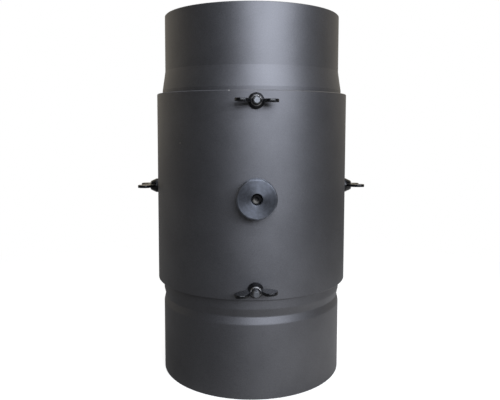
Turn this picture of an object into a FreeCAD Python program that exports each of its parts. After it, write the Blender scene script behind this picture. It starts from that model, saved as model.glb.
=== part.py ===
import FreeCAD, Part
import math
import os

import Sketcher

# Stove pipe particulate filter for a 150 mm flue.
# The pipe stands on its socket rim: +Z is up the pipe, the knob faces -Y, and the origin is on
# the pipe's axis at the rim. Lengths are in millimetres and angles in degrees.

SIZES = (
    # The tube, from the socket up
    ("pipe_bore", 150.0),
    ("sheet_wall", 2.0),
    ("rim_chamfer", 0.35),
    ("socket_depth", 59.2),
    ("bead_reach", 6.0),
    ("bead_depth", 1.4),
    ("bead_rounding", 2.6),
    ("swage_length", 16.0),
    ("spigot_length", 46.2),
    ("spigot_clearance", 0.8),
    # The cleaning window with the filter's turning axis at its middle
    ("window_height", 118.0),
    ("window_margin", 0.6),
    ("window_corner", 6.0),
    # The cover and its gasket
    ("cover_over_bead", 8.5),
    ("cover_lap_low", 20.1),
    ("cover_lap_high", 20.0),
    ("cover_under_swage", 3.2),
    ("cover_wrap", 200.0),
    ("cover_chamfer", 0.5),
    ("gasket_thickness", 2.6),
    ("gasket_width", 6.5),
    ("gasket_side", 9.0),
    ("lay_clearance", 0.05),
    # Studs, washers and wing nuts
    ("stud_diameter", 6.0),
    ("stud_chamfer", 0.6),
    ("stud_over_window", 12.0),
    ("stud_under_window", 11.5),
    ("stud_proud", 13.0),
    ("side_stud_proud", 7.2),
    ("hole_clearance", 0.3),
    ("washer_diameter", 12.0),
    ("washer_thickness", 1.6),
    ("washer_clearance", 0.2),
    ("seat_gap", 0.05),
    ("nut_base", 12.4),
    ("nut_shoulder", 9.6),
    ("nut_shoulder_height", 3.0),
    ("nut_crown", 7.6),
    ("nut_hub", 5.3),
    ("nut_height", 14.7),
    ("nut_span", 32.6),
    ("wing_thickness", 2.4),
    ("wing_foot", 1.0),
    ("wing_heels", 19.0),
    ("wing_widest", 6.5),
    ("wing_lean", 0.9),
    ("wing_mouth", 15.0),
    ("wing_rounding", 4.4),
    ("mouth_rounding", 3.4),
    # The filter
    ("filter_clearance", 2.0),
    ("filter_height", 26.0),
    ("band_wall", 1.5),
    ("lip_width", 5.0),
    ("mat_thickness", 1.6),
    ("cell_pitch", 8.0),
    ("cell_web", 1.2),
    ("block_skin", 1.6),
    # The turning gear
    ("running_clearance", 0.05),
    ("shaft_diameter", 8.0),
    ("collar_diameter", 11.0),
    ("collar_thickness", 1.4),
    ("square_size", 5.6),
    ("square_clearance", 0.1),
    ("square_depth", 4.2),
    ("drive_diameter", 16.0),
    ("drive_length", 4.4),
    ("barrel_diameter", 12.0),
    ("barrel_proud", 0.4),
    ("flange_diameter", 20.0),
    ("flange_height", 5.2),
    ("flat_cut", 1.0),
    ("flat_length", 3.0),
    # The knob with what lies behind it
    ("knob_diameter", 30.0),
    ("knob_thickness", 7.5),
    ("knob_chamfer", 1.0),
    ("knob_back_chamfer", 0.5),
    ("neck_diameter", 12.0),
    ("neck_clearance", 0.5),
    ("recess_diameter", 8.4),
    ("recess_depth", 5.8),
    ("thrust_diameter", 18.0),
    ("thrust_thickness", 1.0),
    ("disc_diameter", 25.0),
    ("disc_clearance", 0.1),
    ("disc_thickness", 0.9),
    ("disc_height", 1.6),
    ("screw_diameter", 4.0),
    ("screw_length", 12.0),
    ("head_diameter", 7.0),
    ("head_height", 4.0),
    ("head_chamfer", 0.3),
    ("key_size", 3.0),
    ("key_depth", 2.0),
    # The rear pivot
    ("pivot_diameter", 8.0),
    ("pivot_length", 8.6),
    ("pivot_foot", 12.0),
    ("pivot_foot_height", 1.1),
    ("rear_barrel", 14.0),
    ("rear_flange", 20.0),
    ("rear_flange_height", 1.8),
    ("rear_proud", 7.0),
    ("rear_inner_edge", 0.1),
    ("rear_end_wall", 2.0),
    # How far a boring tool starts outside the piece
    ("cut_past", 1.0),
)

# The least volume that a cut has to take away, and how near two points count as one
LEAST_CUT = 0.1
SAME_POINT = 1e-6

# Disc springs behind the knob, stacked with their large ends together
DISC_SPRINGS = 2

# How far each wing nut is turned from level when it is tight, as the photo shows them
TIGHT_ANGLES = {"top": -1.5, "bottom": 4.0, "left": 91.0, "right": 87.0}

document = FreeCAD.newDocument("ParticulateFilter")
sheet = document.addObject("Spreadsheet::Sheet", "Sizes")
for row, (alias, value) in enumerate(SIZES, start=1):
    sheet.set("A%d" % row, alias)
    sheet.set("B%d" % row, str(value))
    sheet.setAlias("B%d" % row, alias)
document.recompute()

ALIASES = {alias for alias, value in SIZES}


def cells(expression):
    """Put the sheet's name before each alias in an expression."""
    words = []
    for word in str(expression).split():
        bare = word.strip("()")
        if bare in ALIASES:
            word = word.replace(bare, "Sizes." + bare)
        words.append(word)
    return " ".join(words)


def size(expression):
    """Value of an expression of the sheet's cells."""
    return float(sheet.evalExpression(cells(expression)))


# Radii, measured from the pipe's axis, that several pieces share
PIPE_INSIDE = "( pipe_bore / 2 )"
PIPE_OUTSIDE = "( pipe_bore / 2 + sheet_wall )"
COVER_INSIDE = "( pipe_bore / 2 + sheet_wall + gasket_thickness + lay_clearance )"
COVER_OUTSIDE = "( pipe_bore / 2 + 2 * sheet_wall + gasket_thickness + lay_clearance )"
STUD_TIP = "( " + COVER_OUTSIDE + " + stud_proud )"
SIDE_STUD_TIP = "( " + COVER_OUTSIDE + " + side_stud_proud )"
NUT_SEAT = "( " + COVER_OUTSIDE + " + washer_thickness + 2 * seat_gap )"
BUSH_FACE = "( " + COVER_OUTSIDE + " + flange_height )"
SPRING_SEAT = "( " + BUSH_FACE + " + seat_gap + thrust_thickness )"
KNOB_BACK = "( " + SPRING_SEAT + " + %d * disc_height + seat_gap )" % DISC_SPRINGS
KNOB_FACE = "( " + KNOB_BACK + " + knob_thickness )"
NECK_END = "( " + SPRING_SEAT + " + neck_clearance )"
RECESS_FLOOR = "( " + KNOB_FACE + " - recess_depth )"
COLLAR_FACE = "( " + COVER_INSIDE + " - barrel_proud - running_clearance )"
SHAFT_END = "( " + NECK_END + " + flat_length )"
SPIGOT_RADIUS = "( ( pipe_bore - spigot_clearance ) / 2 )"
BAND_OUTSIDE = "( pipe_bore / 2 - filter_clearance )"
BAND_INSIDE = "( " + BAND_OUTSIDE + " - band_wall )"
BLOCK_RADIUS = "( " + BAND_INSIDE + " - mat_thickness )"
DRIVE_FACE = "( " + BAND_OUTSIDE + " + drive_length )"
WINDOW_HALF = "( " + BAND_OUTSIDE + " + window_margin )"
PIVOT_END = "( " + BAND_OUTSIDE + " + pivot_length )"

# Heights above the socket's rim, from the bottom up
BEAD_CENTRE = "( socket_depth + bead_reach )"
BEAD_TOP = "( socket_depth + 2 * bead_reach )"
COVER_LOW = "( " + BEAD_TOP + " + cover_over_bead )"
WINDOW_LOW = "( " + COVER_LOW + " + cover_lap_low )"
AXIS_HEIGHT = "( " + WINDOW_LOW + " + window_height / 2 )"
WINDOW_HIGH = "( " + WINDOW_LOW + " + window_height )"
COVER_HIGH = "( " + WINDOW_HIGH + " + cover_lap_high )"
SWAGE_LOW = "( " + COVER_HIGH + " + cover_under_swage )"
SWAGE_HIGH = "( " + SWAGE_LOW + " + swage_length )"
PIPE_TOP = "( " + SWAGE_HIGH + " + spigot_length )"


def half(name):
    """Half of a named size, as an expression."""
    return "( %s / 2 )" % name


def new_body(name):
    """An empty body whose label is its node's name."""
    body = document.addObject("PartDesign::Body", name)
    body.Label = name
    return body


def origin_plane(body, role):
    """One of a body's own origin planes."""
    return [feature for feature in body.Origin.OriginFeatures if feature.Role == role][0]


def new_sketch(body, name, role):
    """An empty sketch on one of the body's origin planes."""
    sketch = body.newObject("Sketcher::SketchObject", name)
    sketch.AttachmentSupport = [(origin_plane(body, role), "")]
    sketch.MapMode = "FlatFace"
    return sketch


def bind(sketch, constraint, expression):
    """Add a constraint and tie its value to the sheet."""
    index = sketch.addConstraint(constraint)
    sketch.setExpression("Constraints[%d]" % index, cells(expression))


def place_point(sketch, geometry, position, across, up):
    """Hold a point of the sketch at two expressions from the sketch's origin."""
    bind(sketch, Sketcher.Constraint("DistanceX", -1, 1, geometry, position, size(across)), across)
    bind(sketch, Sketcher.Constraint("DistanceY", -1, 1, geometry, position, size(up)), up)


def outline(sketch, corners):
    """Closed outline through corners (across, up) or (across, up, rounding), all expressions."""
    points = [FreeCAD.Vector(size(corner[0]), size(corner[1]), 0) for corner in corners]
    count = len(corners)
    starts, ends, arcs = [], [], {}
    for index, corner in enumerate(corners):
        point = points[index]
        if len(corner) == 2:
            starts.append(point)
            ends.append(point)
            continue
        back = (points[index - 1] - point).normalize()
        ahead = (points[(index + 1) % count] - point).normalize()
        radius = size(corner[2])
        half_angle = back.getAngle(ahead) / 2
        reach = radius / math.tan(half_angle)
        middle = (back + ahead).normalize()
        centre = point + middle * (radius / math.sin(half_angle))
        starts.append(point + back * reach)
        ends.append(point + ahead * reach)
        arcs[index] = Part.Arc(starts[index], centre - middle * radius, ends[index])
    lines = []
    for index in range(count):
        edge = Part.LineSegment(ends[index], starts[(index + 1) % count])
        lines.append(sketch.addGeometry(edge))
    for index, corner in enumerate(corners):
        before, after = lines[index - 1], lines[index]
        if index not in arcs:
            sketch.addConstraint(Sketcher.Constraint("Coincident", before, 2, after, 1))
            place_point(sketch, after, 1, corner[0], corner[1])
            continue
        arc = sketch.addGeometry(arcs[index])
        begins = sketch.getPoint(arc, 1).distanceToPoint(starts[index]) < SAME_POINT
        first, last = (1, 2) if begins else (2, 1)
        sketch.addConstraint(Sketcher.Constraint("Tangent", before, 2, arc, first))
        sketch.addConstraint(Sketcher.Constraint("Tangent", after, 1, arc, last))
        bind(sketch, Sketcher.Constraint("Radius", arc, size(corner[2])), corner[2])
        mark = sketch.addGeometry(Part.Point(points[index]), True)
        sketch.addConstraint(Sketcher.Constraint("PointOnObject", mark, 1, before))
        sketch.addConstraint(Sketcher.Constraint("PointOnObject", mark, 1, after))
        place_point(sketch, mark, 1, corner[0], corner[1])


def circle(sketch, across, up, radius):
    """Circle in a sketch, its centre and radius given as expressions."""
    centre = FreeCAD.Vector(size(across), size(up), 0)
    ring = sketch.addGeometry(Part.Circle(centre, FreeCAD.Vector(0, 0, 1), size(radius)))
    bind(sketch, Sketcher.Constraint("Radius", ring, size(radius)), radius)
    place_point(sketch, ring, 3, across, up)


def revolve(body, name, corners, role="XZ_Plane", angle=None):
    """Turn an outline round the body's Z axis, all the way or by an angle from the sheet."""
    sketch = new_sketch(body, name + "_profile", role)
    outline(sketch, corners)
    document.recompute()
    turned = body.newObject("PartDesign::Revolution", name)
    turned.Profile = sketch
    turned.ReferenceAxis = (sketch, ["V_Axis"])
    turned.Angle = 360
    if angle:
        turned.Midplane = True
        turned.setExpression("Angle", cells(angle))
    document.recompute()
    return turned


def pocket(body, name, sketch, length=None, reverse=False, both=False):
    """Cut a sketch into the body and make sure that it took material away."""
    before = body.Shape.Volume
    cut = body.newObject("PartDesign::Pocket", name)
    cut.Profile = sketch
    cut.Midplane = both
    cut.Reversed = reverse
    if length:
        cut.setExpression("Length", cells(length))
    else:
        cut.Type = "ThroughAll"
    document.recompute()
    if not body.Shape.Volume < before - LEAST_CUT:
        raise RuntimeError("%s cuts nothing" % name)
    return cut


# Each direction takes a body's own Z axis, which points away from the pipe's axis, to its side
OUTWARD = {
    "front": FreeCAD.Rotation(FreeCAD.Vector(1, 0, 0), 90),
    "rear": FreeCAD.Rotation(FreeCAD.Vector(1, 0, 0), -90),
    "left": FreeCAD.Rotation(FreeCAD.Vector(0, 1, 0), -90),
    "right": FreeCAD.Rotation(FreeCAD.Vector(0, 1, 0), 90),
}
# Side of the pipe and height of each fastening
FASTENINGS = {
    "top": ("front", WINDOW_HIGH + " + stud_over_window"),
    "bottom": ("front", WINDOW_LOW + " - stud_under_window"),
    "left": ("left", AXIS_HEIGHT),
    "right": ("right", AXIS_HEIGHT),
}


def set_out(piece, side, height, turn=0.0):
    """Place a piece on a side of the pipe at a height, turned about its own axis."""
    spin = FreeCAD.Rotation(FreeCAD.Vector(0, 0, 1), turn)
    piece.Placement = FreeCAD.Placement(FreeCAD.Vector(0, 0, size(height)), OUTWARD[side] * spin)
    piece.setExpression("Placement.Base.z", cells(height))


def window_outline(body):
    """The cleaning window as seen from the front, wide enough for the filter to come out."""
    sketch = new_sketch(body, "window_outline", "XZ_Plane")
    outline(sketch, [
        ("0 - " + WINDOW_HALF, WINDOW_LOW, "window_corner"),
        (WINDOW_HALF, WINDOW_LOW, "window_corner"),
        (WINDOW_HALF, WINDOW_HIGH, "window_corner"),
        ("0 - " + WINDOW_HALF, WINDOW_HIGH, "window_corner"),
    ])
    return sketch


# The tube: socket, stop bead, chamber, swage and spigot
def make_pipe_body():
    body = new_body("pipe_body")
    outside = [
        (PIPE_OUTSIDE + " - rim_chamfer", "0"),
        (PIPE_OUTSIDE, "rim_chamfer"),
        (PIPE_OUTSIDE, "socket_depth", "bead_rounding + sheet_wall"),
        (PIPE_OUTSIDE + " - bead_depth", BEAD_CENTRE, "bead_rounding"),
        (PIPE_OUTSIDE, BEAD_TOP, "bead_rounding + sheet_wall"),
        (PIPE_OUTSIDE, SWAGE_LOW),
        (SPIGOT_RADIUS, SWAGE_HIGH),
        (SPIGOT_RADIUS, PIPE_TOP + " - rim_chamfer"),
        (SPIGOT_RADIUS + " - rim_chamfer", PIPE_TOP),
    ]
    inside = [
        (SPIGOT_RADIUS + " - sheet_wall", PIPE_TOP),
        (SPIGOT_RADIUS + " - sheet_wall", SWAGE_HIGH),
        (PIPE_INSIDE, SWAGE_LOW),
        (PIPE_INSIDE, BEAD_TOP),
        (PIPE_INSIDE + " - bead_depth", BEAD_CENTRE),
        (PIPE_INSIDE, "socket_depth"),
        (PIPE_INSIDE, "0"),
    ]
    revolve(body, "tube", outside + inside)
    pocket(body, "window", window_outline(body), reverse=True)
    hole = new_sketch(body, "rear_hole_outline", "XZ_Plane")
    circle(hole, "0", AXIS_HEIGHT, half("rear_barrel") + " + lay_clearance")
    pocket(body, "rear_hole", hole)
    return body


# The cover: a curved sheet with round holes in front and slots at its sides
def make_cover():
    body = new_body("cover")
    inner, outer = "0 - " + COVER_INSIDE, "0 - " + COVER_OUTSIDE
    revolve(body, "sheet", [
        (inner, COVER_LOW),
        (outer + " + cover_chamfer", COVER_LOW),
        (outer, COVER_LOW + " + cover_chamfer"),
        (outer, COVER_HIGH + " - cover_chamfer"),
        (outer + " + cover_chamfer", COVER_HIGH),
        (inner, COVER_HIGH),
    ], role="YZ_Plane", angle="cover_wrap")
    holes = new_sketch(body, "front_holes_outline", "XZ_Plane")
    stud_hole = half("stud_diameter") + " + hole_clearance"
    for where in ("top", "bottom"):
        circle(holes, "0", FASTENINGS[where][1], stud_hole)
    circle(holes, "0", AXIS_HEIGHT, half("barrel_diameter") + " + lay_clearance")
    pocket(body, "front_holes", holes, both=True)
    slots = new_sketch(body, "side_slots_outline", "YZ_Plane")
    low, high = AXIS_HEIGHT + " - ( " + stud_hole + " )", AXIS_HEIGHT + " + " + stud_hole
    nose = "0 - ( " + stud_hole + " )"
    rounding = stud_hole + " - lay_clearance"
    outline(slots, [
        (nose, low, rounding),
        (PIPE_OUTSIDE, low),
        (PIPE_OUTSIDE, high),
        (nose, high, rounding),
    ])
    pocket(body, "side_slots", slots, both=True)
    return body


# The gasket: a flat fibre frame laid round the window
def make_cover_gasket():
    inside = "( " + PIPE_OUTSIDE + " + lay_clearance )"
    outside = "( " + PIPE_OUTSIDE + " + gasket_thickness )"
    body = new_body("cover_gasket")
    revolve(body, "strip", [
        (inside, WINDOW_LOW + " - gasket_width"),
        (outside, WINDOW_LOW + " - gasket_width"),
        (outside, WINDOW_HIGH + " + gasket_width"),
        (inside, WINDOW_HIGH + " + gasket_width"),
    ])
    reach = COVER_OUTSIDE
    window_side = "sqrt( " + PIPE_OUTSIDE + " ^ 2 - " + WINDOW_HALF + " ^ 2 )"
    rear_edge = "gasket_side - " + window_side
    rear = new_sketch(body, "rear_outline", "XY_Plane")
    outline(rear, [
        ("0 - " + reach, rear_edge),
        (reach, rear_edge),
        (reach, reach),
        ("0 - " + reach, reach),
    ])
    pocket(body, "rear_opening", rear, both=True)
    pocket(body, "window", window_outline(body), both=True)
    return body


# A weld stud with a chamfered end
def make_stud(where):
    side, height = FASTENINGS[where]
    body = new_body("stud_" + where)
    radius = half("stud_diameter")
    tip = STUD_TIP if side == "front" else SIDE_STUD_TIP
    revolve(body, "shank", [
        ("0", PIPE_OUTSIDE),
        (radius, PIPE_OUTSIDE),
        (radius, tip + " - stud_chamfer"),
        (radius + " - stud_chamfer", tip),
        ("0", tip),
    ])
    set_out(body, side, height)
    return body


# A flat washer under a wing nut
def make_washer(where):
    side, height = FASTENINGS[where]
    body = new_body("washer_" + where)
    bore = half("stud_diameter") + " + washer_clearance"
    low = COVER_OUTSIDE + " + seat_gap"
    high = low + " + washer_thickness"
    revolve(body, "disc", [
        (bore, low),
        (half("washer_diameter"), low),
        (half("washer_diameter"), high),
        (bore, high),
    ])
    set_out(body, side, height)
    return body


# A cast wing nut: a domed hub and two rounded wings, bored through
def make_wing_nut(where):
    side, height = FASTENINGS[where]
    body = new_body("wing_nut_" + where)
    tip = half("nut_span")
    crown = half("nut_crown")
    hub_top = NUT_SEAT + " + nut_hub"
    wing_top = NUT_SEAT + " + nut_height"
    revolve(body, "hub", [
        ("0", NUT_SEAT),
        (half("nut_base"), NUT_SEAT),
        (half("nut_shoulder"), NUT_SEAT + " + nut_shoulder_height"),
        (crown, hub_top),
        ("0", hub_top),
    ])
    wing = new_sketch(body, "wing_outline", "XZ_Plane")
    root = crown + " - wing_thickness / 2"
    outline(wing, [
        (root, NUT_SEAT + " + wing_foot"),
        (half("wing_heels"), NUT_SEAT + " + wing_foot", "wing_rounding"),
        (tip, NUT_SEAT + " + wing_widest", "wing_rounding"),
        (tip + " - wing_lean", wing_top, "wing_rounding"),
        (half("wing_mouth"), wing_top, "mouth_rounding"),
        (root, hub_top + " - wing_thickness / 4"),
    ])
    document.recompute()
    pad = body.newObject("PartDesign::Pad", "wing")
    pad.Profile = wing
    pad.Midplane = True
    pad.setExpression("Length", cells("wing_thickness"))
    document.recompute()
    pair = body.newObject("PartDesign::Mirrored", "wings")
    pair.Originals = [pad]
    pair.MirrorPlane = (origin_plane(body, "YZ_Plane"), [""])
    body.Tip = pair
    document.recompute()
    bore = new_sketch(body, "bore_outline", "XY_Plane")
    circle(bore, "0", "0", half("stud_diameter") + " + running_clearance")
    pocket(body, "bore", bore, both=True)
    set_out(body, side, height, TIGHT_ANGLES[where])
    return body


def cylinder(name, radius, low, high, side="up"):
    """Part cylinder along a body direction, from one distance from the pipe's axis to another."""
    piece = document.addObject("Part::Cylinder", name)
    piece.setExpression("Radius", cells(radius))
    piece.setExpression("Height", cells("( " + high + " ) - ( " + low + " )"))
    if side == "up":
        piece.setExpression("Placement.Base.z", cells(low))
        return piece
    away = {"front": "0 - ( " + low + " )", "rear": low}[side]
    piece.Placement = FreeCAD.Placement(FreeCAD.Vector(0, size(away), size(AXIS_HEIGHT)), OUTWARD[side])
    piece.setExpression("Placement.Base.y", cells(away))
    piece.setExpression("Placement.Base.z", cells(AXIS_HEIGHT))
    return piece


def combine(kind, name, base, tool):
    """Boolean of two document objects."""
    result = document.addObject("Part::" + kind, name)
    result.Base = base
    result.Tool = tool
    return result


# The bearing in the cover: a barrel through the sheet and a saddle-backed flange welded on it
def make_shaft_bush():
    sheet_space = cylinder("bush_sheet_space", COVER_OUTSIDE, "0", PIPE_TOP)
    low = COVER_OUTSIDE + " - flange_height"
    flange_blank = cylinder("bush_flange_blank", half("flange_diameter"), low, BUSH_FACE, "front")
    flange = combine("Cut", "bush_flange", flange_blank, sheet_space)
    inner = COVER_INSIDE + " - barrel_proud"
    barrel = cylinder("bush_barrel", half("barrel_diameter"), inner, BUSH_FACE, "front")
    solid = combine("Fuse", "bush_solid", flange, barrel)
    bore_radius = half("shaft_diameter") + " + running_clearance"
    bore = cylinder("bush_bore", bore_radius, inner + " - cut_past", BUSH_FACE + " + cut_past", "front")
    bush = combine("Cut", "shaft_bush", solid, bore)
    bush.Label = "shaft_bush"
    return bush


# The bearing in the back of the tube: a closed cup, so that no flue gas leaks
def make_rear_bush():
    tube_space = cylinder("rear_tube_space", PIPE_OUTSIDE, "0", PIPE_TOP)
    low = PIPE_OUTSIDE + " - rear_flange_height"
    high = PIPE_OUTSIDE + " + rear_flange_height"
    flange_blank = cylinder("rear_flange_blank", half("rear_flange"), low, high, "rear")
    flange = combine("Cut", "rear_flange_solid", flange_blank, tube_space)
    inner = PIPE_INSIDE + " - rear_inner_edge"
    outer = PIPE_OUTSIDE + " + rear_proud"
    barrel = cylinder("rear_barrel_solid", half("rear_barrel"), inner, outer, "rear")
    solid = combine("Fuse", "rear_solid", flange, barrel)
    bore_radius = half("pivot_diameter") + " + running_clearance"
    bore = cylinder("rear_bore", bore_radius, inner + " - cut_past", outer + " - rear_end_wall", "rear")
    bush = combine("Cut", "rear_bush", solid, bore)
    bush.Label = "rear_bush"
    return bush


# The boss on the band that takes the shaft's square end
def make_drive_socket():
    band_space = cylinder("drive_band_space", BAND_OUTSIDE, "0", PIPE_TOP)
    low = BAND_OUTSIDE + " - drive_length / 2"
    blank = cylinder("drive_blank", half("drive_diameter"), low, DRIVE_FACE, "front")
    boss = combine("Cut", "drive_boss", blank, band_space)
    hole = document.addObject("Part::Box", "drive_square")
    across = "square_size + 2 * square_clearance"
    hole.setExpression("Length", cells(across))
    hole.setExpression("Width", cells("2 * drive_length"))
    hole.setExpression("Height", cells(across))
    hole.setExpression("Placement.Base.x", cells("0 - ( " + across + " ) / 2"))
    hole.setExpression("Placement.Base.y", cells("0 - " + DRIVE_FACE + " - drive_length / 2"))
    hole.setExpression("Placement.Base.z", cells(AXIS_HEIGHT + " - ( " + across + " ) / 2"))
    socket = combine("Cut", "drive_socket", boss, hole)
    socket.Label = "drive_socket"
    return socket


# The pivot at the back of the band, on a foot that follows the band
def make_rear_pivot_pin():
    band_space = cylinder("pivot_band_space", BAND_OUTSIDE, "0", PIPE_TOP)
    low = BAND_OUTSIDE + " - pivot_foot_height"
    high = BAND_OUTSIDE + " + pivot_foot_height"
    foot = cylinder("pivot_foot_solid", half("pivot_foot"), low, high, "rear")
    pin = cylinder("pivot_pin_solid", half("pivot_diameter"), low, PIVOT_END, "rear")
    solid = combine("Fuse", "pivot_solid", foot, pin)
    pivot = combine("Cut", "rear_pivot_pin", solid, band_space)
    pivot.Label = "rear_pivot_pin"
    return pivot


# The shaft: square end, collar, journal and a flatted end drilled for the screw
def make_knob_shaft():
    body = new_body("knob_shaft")
    radius = half("shaft_diameter")
    drilled = half("screw_diameter") + " + lay_clearance"
    collar_back = COLLAR_FACE + " - collar_thickness"
    square_end = DRIVE_FACE + " - square_depth"
    revolve(body, "turned_part", [
        ("0", collar_back),
        (half("collar_diameter"), collar_back),
        (half("collar_diameter"), COLLAR_FACE),
        (radius, COLLAR_FACE),
        (radius, SHAFT_END),
        ("0", SHAFT_END),
    ])
    square = new_sketch(body, "square_outline", "XY_Plane")
    reach = half("square_size")
    outline(square, [
        ("0 - " + reach, "0 - " + reach),
        (reach, "0 - " + reach),
        (reach, reach),
        ("0 - " + reach, reach),
    ])
    square.AttachmentOffset = FreeCAD.Placement(FreeCAD.Vector(0, 0, size(square_end)), FreeCAD.Rotation())
    square.setExpression("AttachmentOffset.Base.z", cells(square_end))
    document.recompute()
    tang = body.newObject("PartDesign::Pad", "square_end")
    tang.Profile = square
    tang.setExpression("Length", cells("( " + collar_back + " ) - ( " + square_end + " ) + collar_thickness / 2"))
    document.recompute()
    flat = new_sketch(body, "flat_outline", "XZ_Plane")
    outline(flat, [
        (radius + " - flat_cut", SHAFT_END + " - flat_length"),
        (radius + " + flat_cut", SHAFT_END + " - flat_length"),
        (radius + " + flat_cut", SHAFT_END + " + flat_cut"),
        (radius + " - flat_cut", SHAFT_END + " + flat_cut"),
    ])
    pocket(body, "flat", flat, both=True)
    thread = new_sketch(body, "thread_outline", "XZ_Plane")
    depth = SHAFT_END + " - screw_length"
    outline(thread, [("0", depth), (drilled, depth), (drilled, SHAFT_END), ("0", SHAFT_END)])
    document.recompute()
    drill = body.newObject("PartDesign::Groove", "thread_hole")
    drill.Profile = thread
    drill.ReferenceAxis = (thread, ["V_Axis"])
    drill.Angle = 360
    set_out(body, "front", AXIS_HEIGHT)
    return body


def flatted_circle(sketch, radius, flat):
    """Circle round the sketch's origin with one flat on its +X side."""
    angle = math.acos(size(flat) / size(radius))
    ring = Part.Circle(FreeCAD.Vector(0, 0, 0), FreeCAD.Vector(0, 0, 1), size(radius))
    arc = sketch.addGeometry(Part.ArcOfCircle(ring, angle, 2 * math.pi - angle))
    first, last = sketch.getPoint(arc, 1), sketch.getPoint(arc, 2)
    line = sketch.addGeometry(Part.LineSegment(last, first))
    sketch.addConstraint(Sketcher.Constraint("Coincident", arc, 2, line, 1))
    sketch.addConstraint(Sketcher.Constraint("Coincident", line, 2, arc, 1))
    sketch.addConstraint(Sketcher.Constraint("Coincident", arc, 3, -1, 1))
    sketch.addConstraint(Sketcher.Constraint("Vertical", line))
    bind(sketch, Sketcher.Constraint("Radius", arc, size(radius)), radius)
    bind(sketch, Sketcher.Constraint("DistanceX", -1, 1, line, 1, size(flat)), flat)


# The knob: a turned disc on a neck, recessed for the screw and bored for the flatted shaft
def make_turning_knob():
    body = new_body("turning_knob")
    radius = half("knob_diameter")
    clear = half("screw_diameter") + " + hole_clearance"
    revolve(body, "turned_part", [
        (clear, NECK_END),
        (half("neck_diameter"), NECK_END),
        (half("neck_diameter"), KNOB_BACK),
        (radius + " - knob_back_chamfer", KNOB_BACK),
        (radius, KNOB_BACK + " + knob_back_chamfer"),
        (radius, KNOB_FACE + " - knob_chamfer"),
        (radius + " - knob_chamfer", KNOB_FACE),
        (half("recess_diameter"), KNOB_FACE),
        (half("recess_diameter"), RECESS_FLOOR),
        (clear, RECESS_FLOOR),
    ])
    bore = new_sketch(body, "bore_outline", "XY_Plane")
    radius = half("shaft_diameter") + " + lay_clearance"
    flat = half("shaft_diameter") + " - flat_cut + lay_clearance"
    flatted_circle(bore, radius, flat)
    bore.AttachmentOffset = FreeCAD.Placement(FreeCAD.Vector(0, 0, size(NECK_END)), FreeCAD.Rotation())
    bore.setExpression("AttachmentOffset.Base.z", cells(NECK_END))
    pocket(body, "shaft_bore", bore, length="flat_length + lay_clearance", reverse=True)
    set_out(body, "front", AXIS_HEIGHT)
    return body


# The socket-head screw in the knob's recess
def make_knob_screw():
    body = new_body("knob_screw")
    shank = half("screw_diameter")
    head = half("head_diameter")
    head_top = RECESS_FLOOR + " + head_height"
    revolve(body, "turned_part", [
        ("0", RECESS_FLOOR + " - screw_length"),
        (shank, RECESS_FLOOR + " - screw_length"),
        (shank, RECESS_FLOOR),
        (head, RECESS_FLOOR),
        (head, head_top + " - head_chamfer"),
        (head + " - head_chamfer", head_top),
        ("0", head_top),
    ])
    key = new_sketch(body, "key_outline", "XY_Plane")
    corner = math.tan(math.radians(30))
    reach = half("key_size")
    low = "0 - key_size / 2"
    point = "key_size / 2 * %.9f" % corner
    tip = "key_size * %.9f" % corner
    outline(key, [
        (reach, "0 - " + point),
        (reach, point),
        ("0", tip),
        (low, point),
        (low, "0 - " + point),
        ("0", "0 - " + tip),
    ])
    key.AttachmentOffset = FreeCAD.Placement(FreeCAD.Vector(0, 0, size(head_top)), FreeCAD.Rotation())
    key.setExpression("AttachmentOffset.Base.z", cells(head_top))
    pocket(body, "key_socket", key, length="key_depth")
    set_out(body, "front", AXIS_HEIGHT)
    return body


# The washer on the bush that the spring presses on
def make_thrust_washer():
    body = new_body("thrust_washer")
    bore = half("shaft_diameter") + " + washer_clearance"
    low = BUSH_FACE + " + seat_gap"
    high = low + " + thrust_thickness"
    revolve(body, "disc", [
        (bore, low),
        (half("thrust_diameter"), low),
        (half("thrust_diameter"), high),
        (bore, high),
    ])
    set_out(body, "front", AXIS_HEIGHT)
    return body


# The band: a rolled ring with a lip that the ceramic stands on
def make_filter_band():
    body = new_body("filter_band")
    top = half("filter_height")
    floor = "0 - filter_height / 2"
    lip = BAND_INSIDE + " - lip_width"
    revolve(body, "ring", [
        (lip, floor),
        (BAND_OUTSIDE + " - band_wall / 2", floor),
        (BAND_OUTSIDE, floor + " + band_wall / 2"),
        (BAND_OUTSIDE, top),
        (BAND_INSIDE, top),
        (BAND_INSIDE, floor + " + band_wall"),
        (lip, floor + " + band_wall"),
    ])
    body.setExpression("Placement.Base.z", cells(AXIS_HEIGHT))
    return body


def disc_ring(name, inner, outer, low, high):
    """Plain ring about the pipe's axis, its heights counted from the turning axis."""
    body = new_body(name)
    revolve(body, "ring", [(inner, low), (outer, low), (outer, high), (inner, high)])
    body.setExpression("Placement.Base.z", cells(AXIS_HEIGHT))
    return body


BLOCK_LOW = "0 - filter_height / 2 + band_wall + lay_clearance"
BLOCK_HIGH = "filter_height / 2 - band_wall - lay_clearance"


def make_support_mat():
    inner = BLOCK_RADIUS + " + lay_clearance"
    outer = BAND_INSIDE + " - lay_clearance"
    return disc_ring("support_mat", inner, outer, BLOCK_LOW, BLOCK_HIGH)


def make_retaining_ring():
    inner = BAND_INSIDE + " - lip_width"
    outer = BAND_INSIDE + " - lay_clearance"
    return disc_ring("retaining_ring", inner, outer, BLOCK_HIGH + " + lay_clearance", "filter_height / 2")


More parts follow.
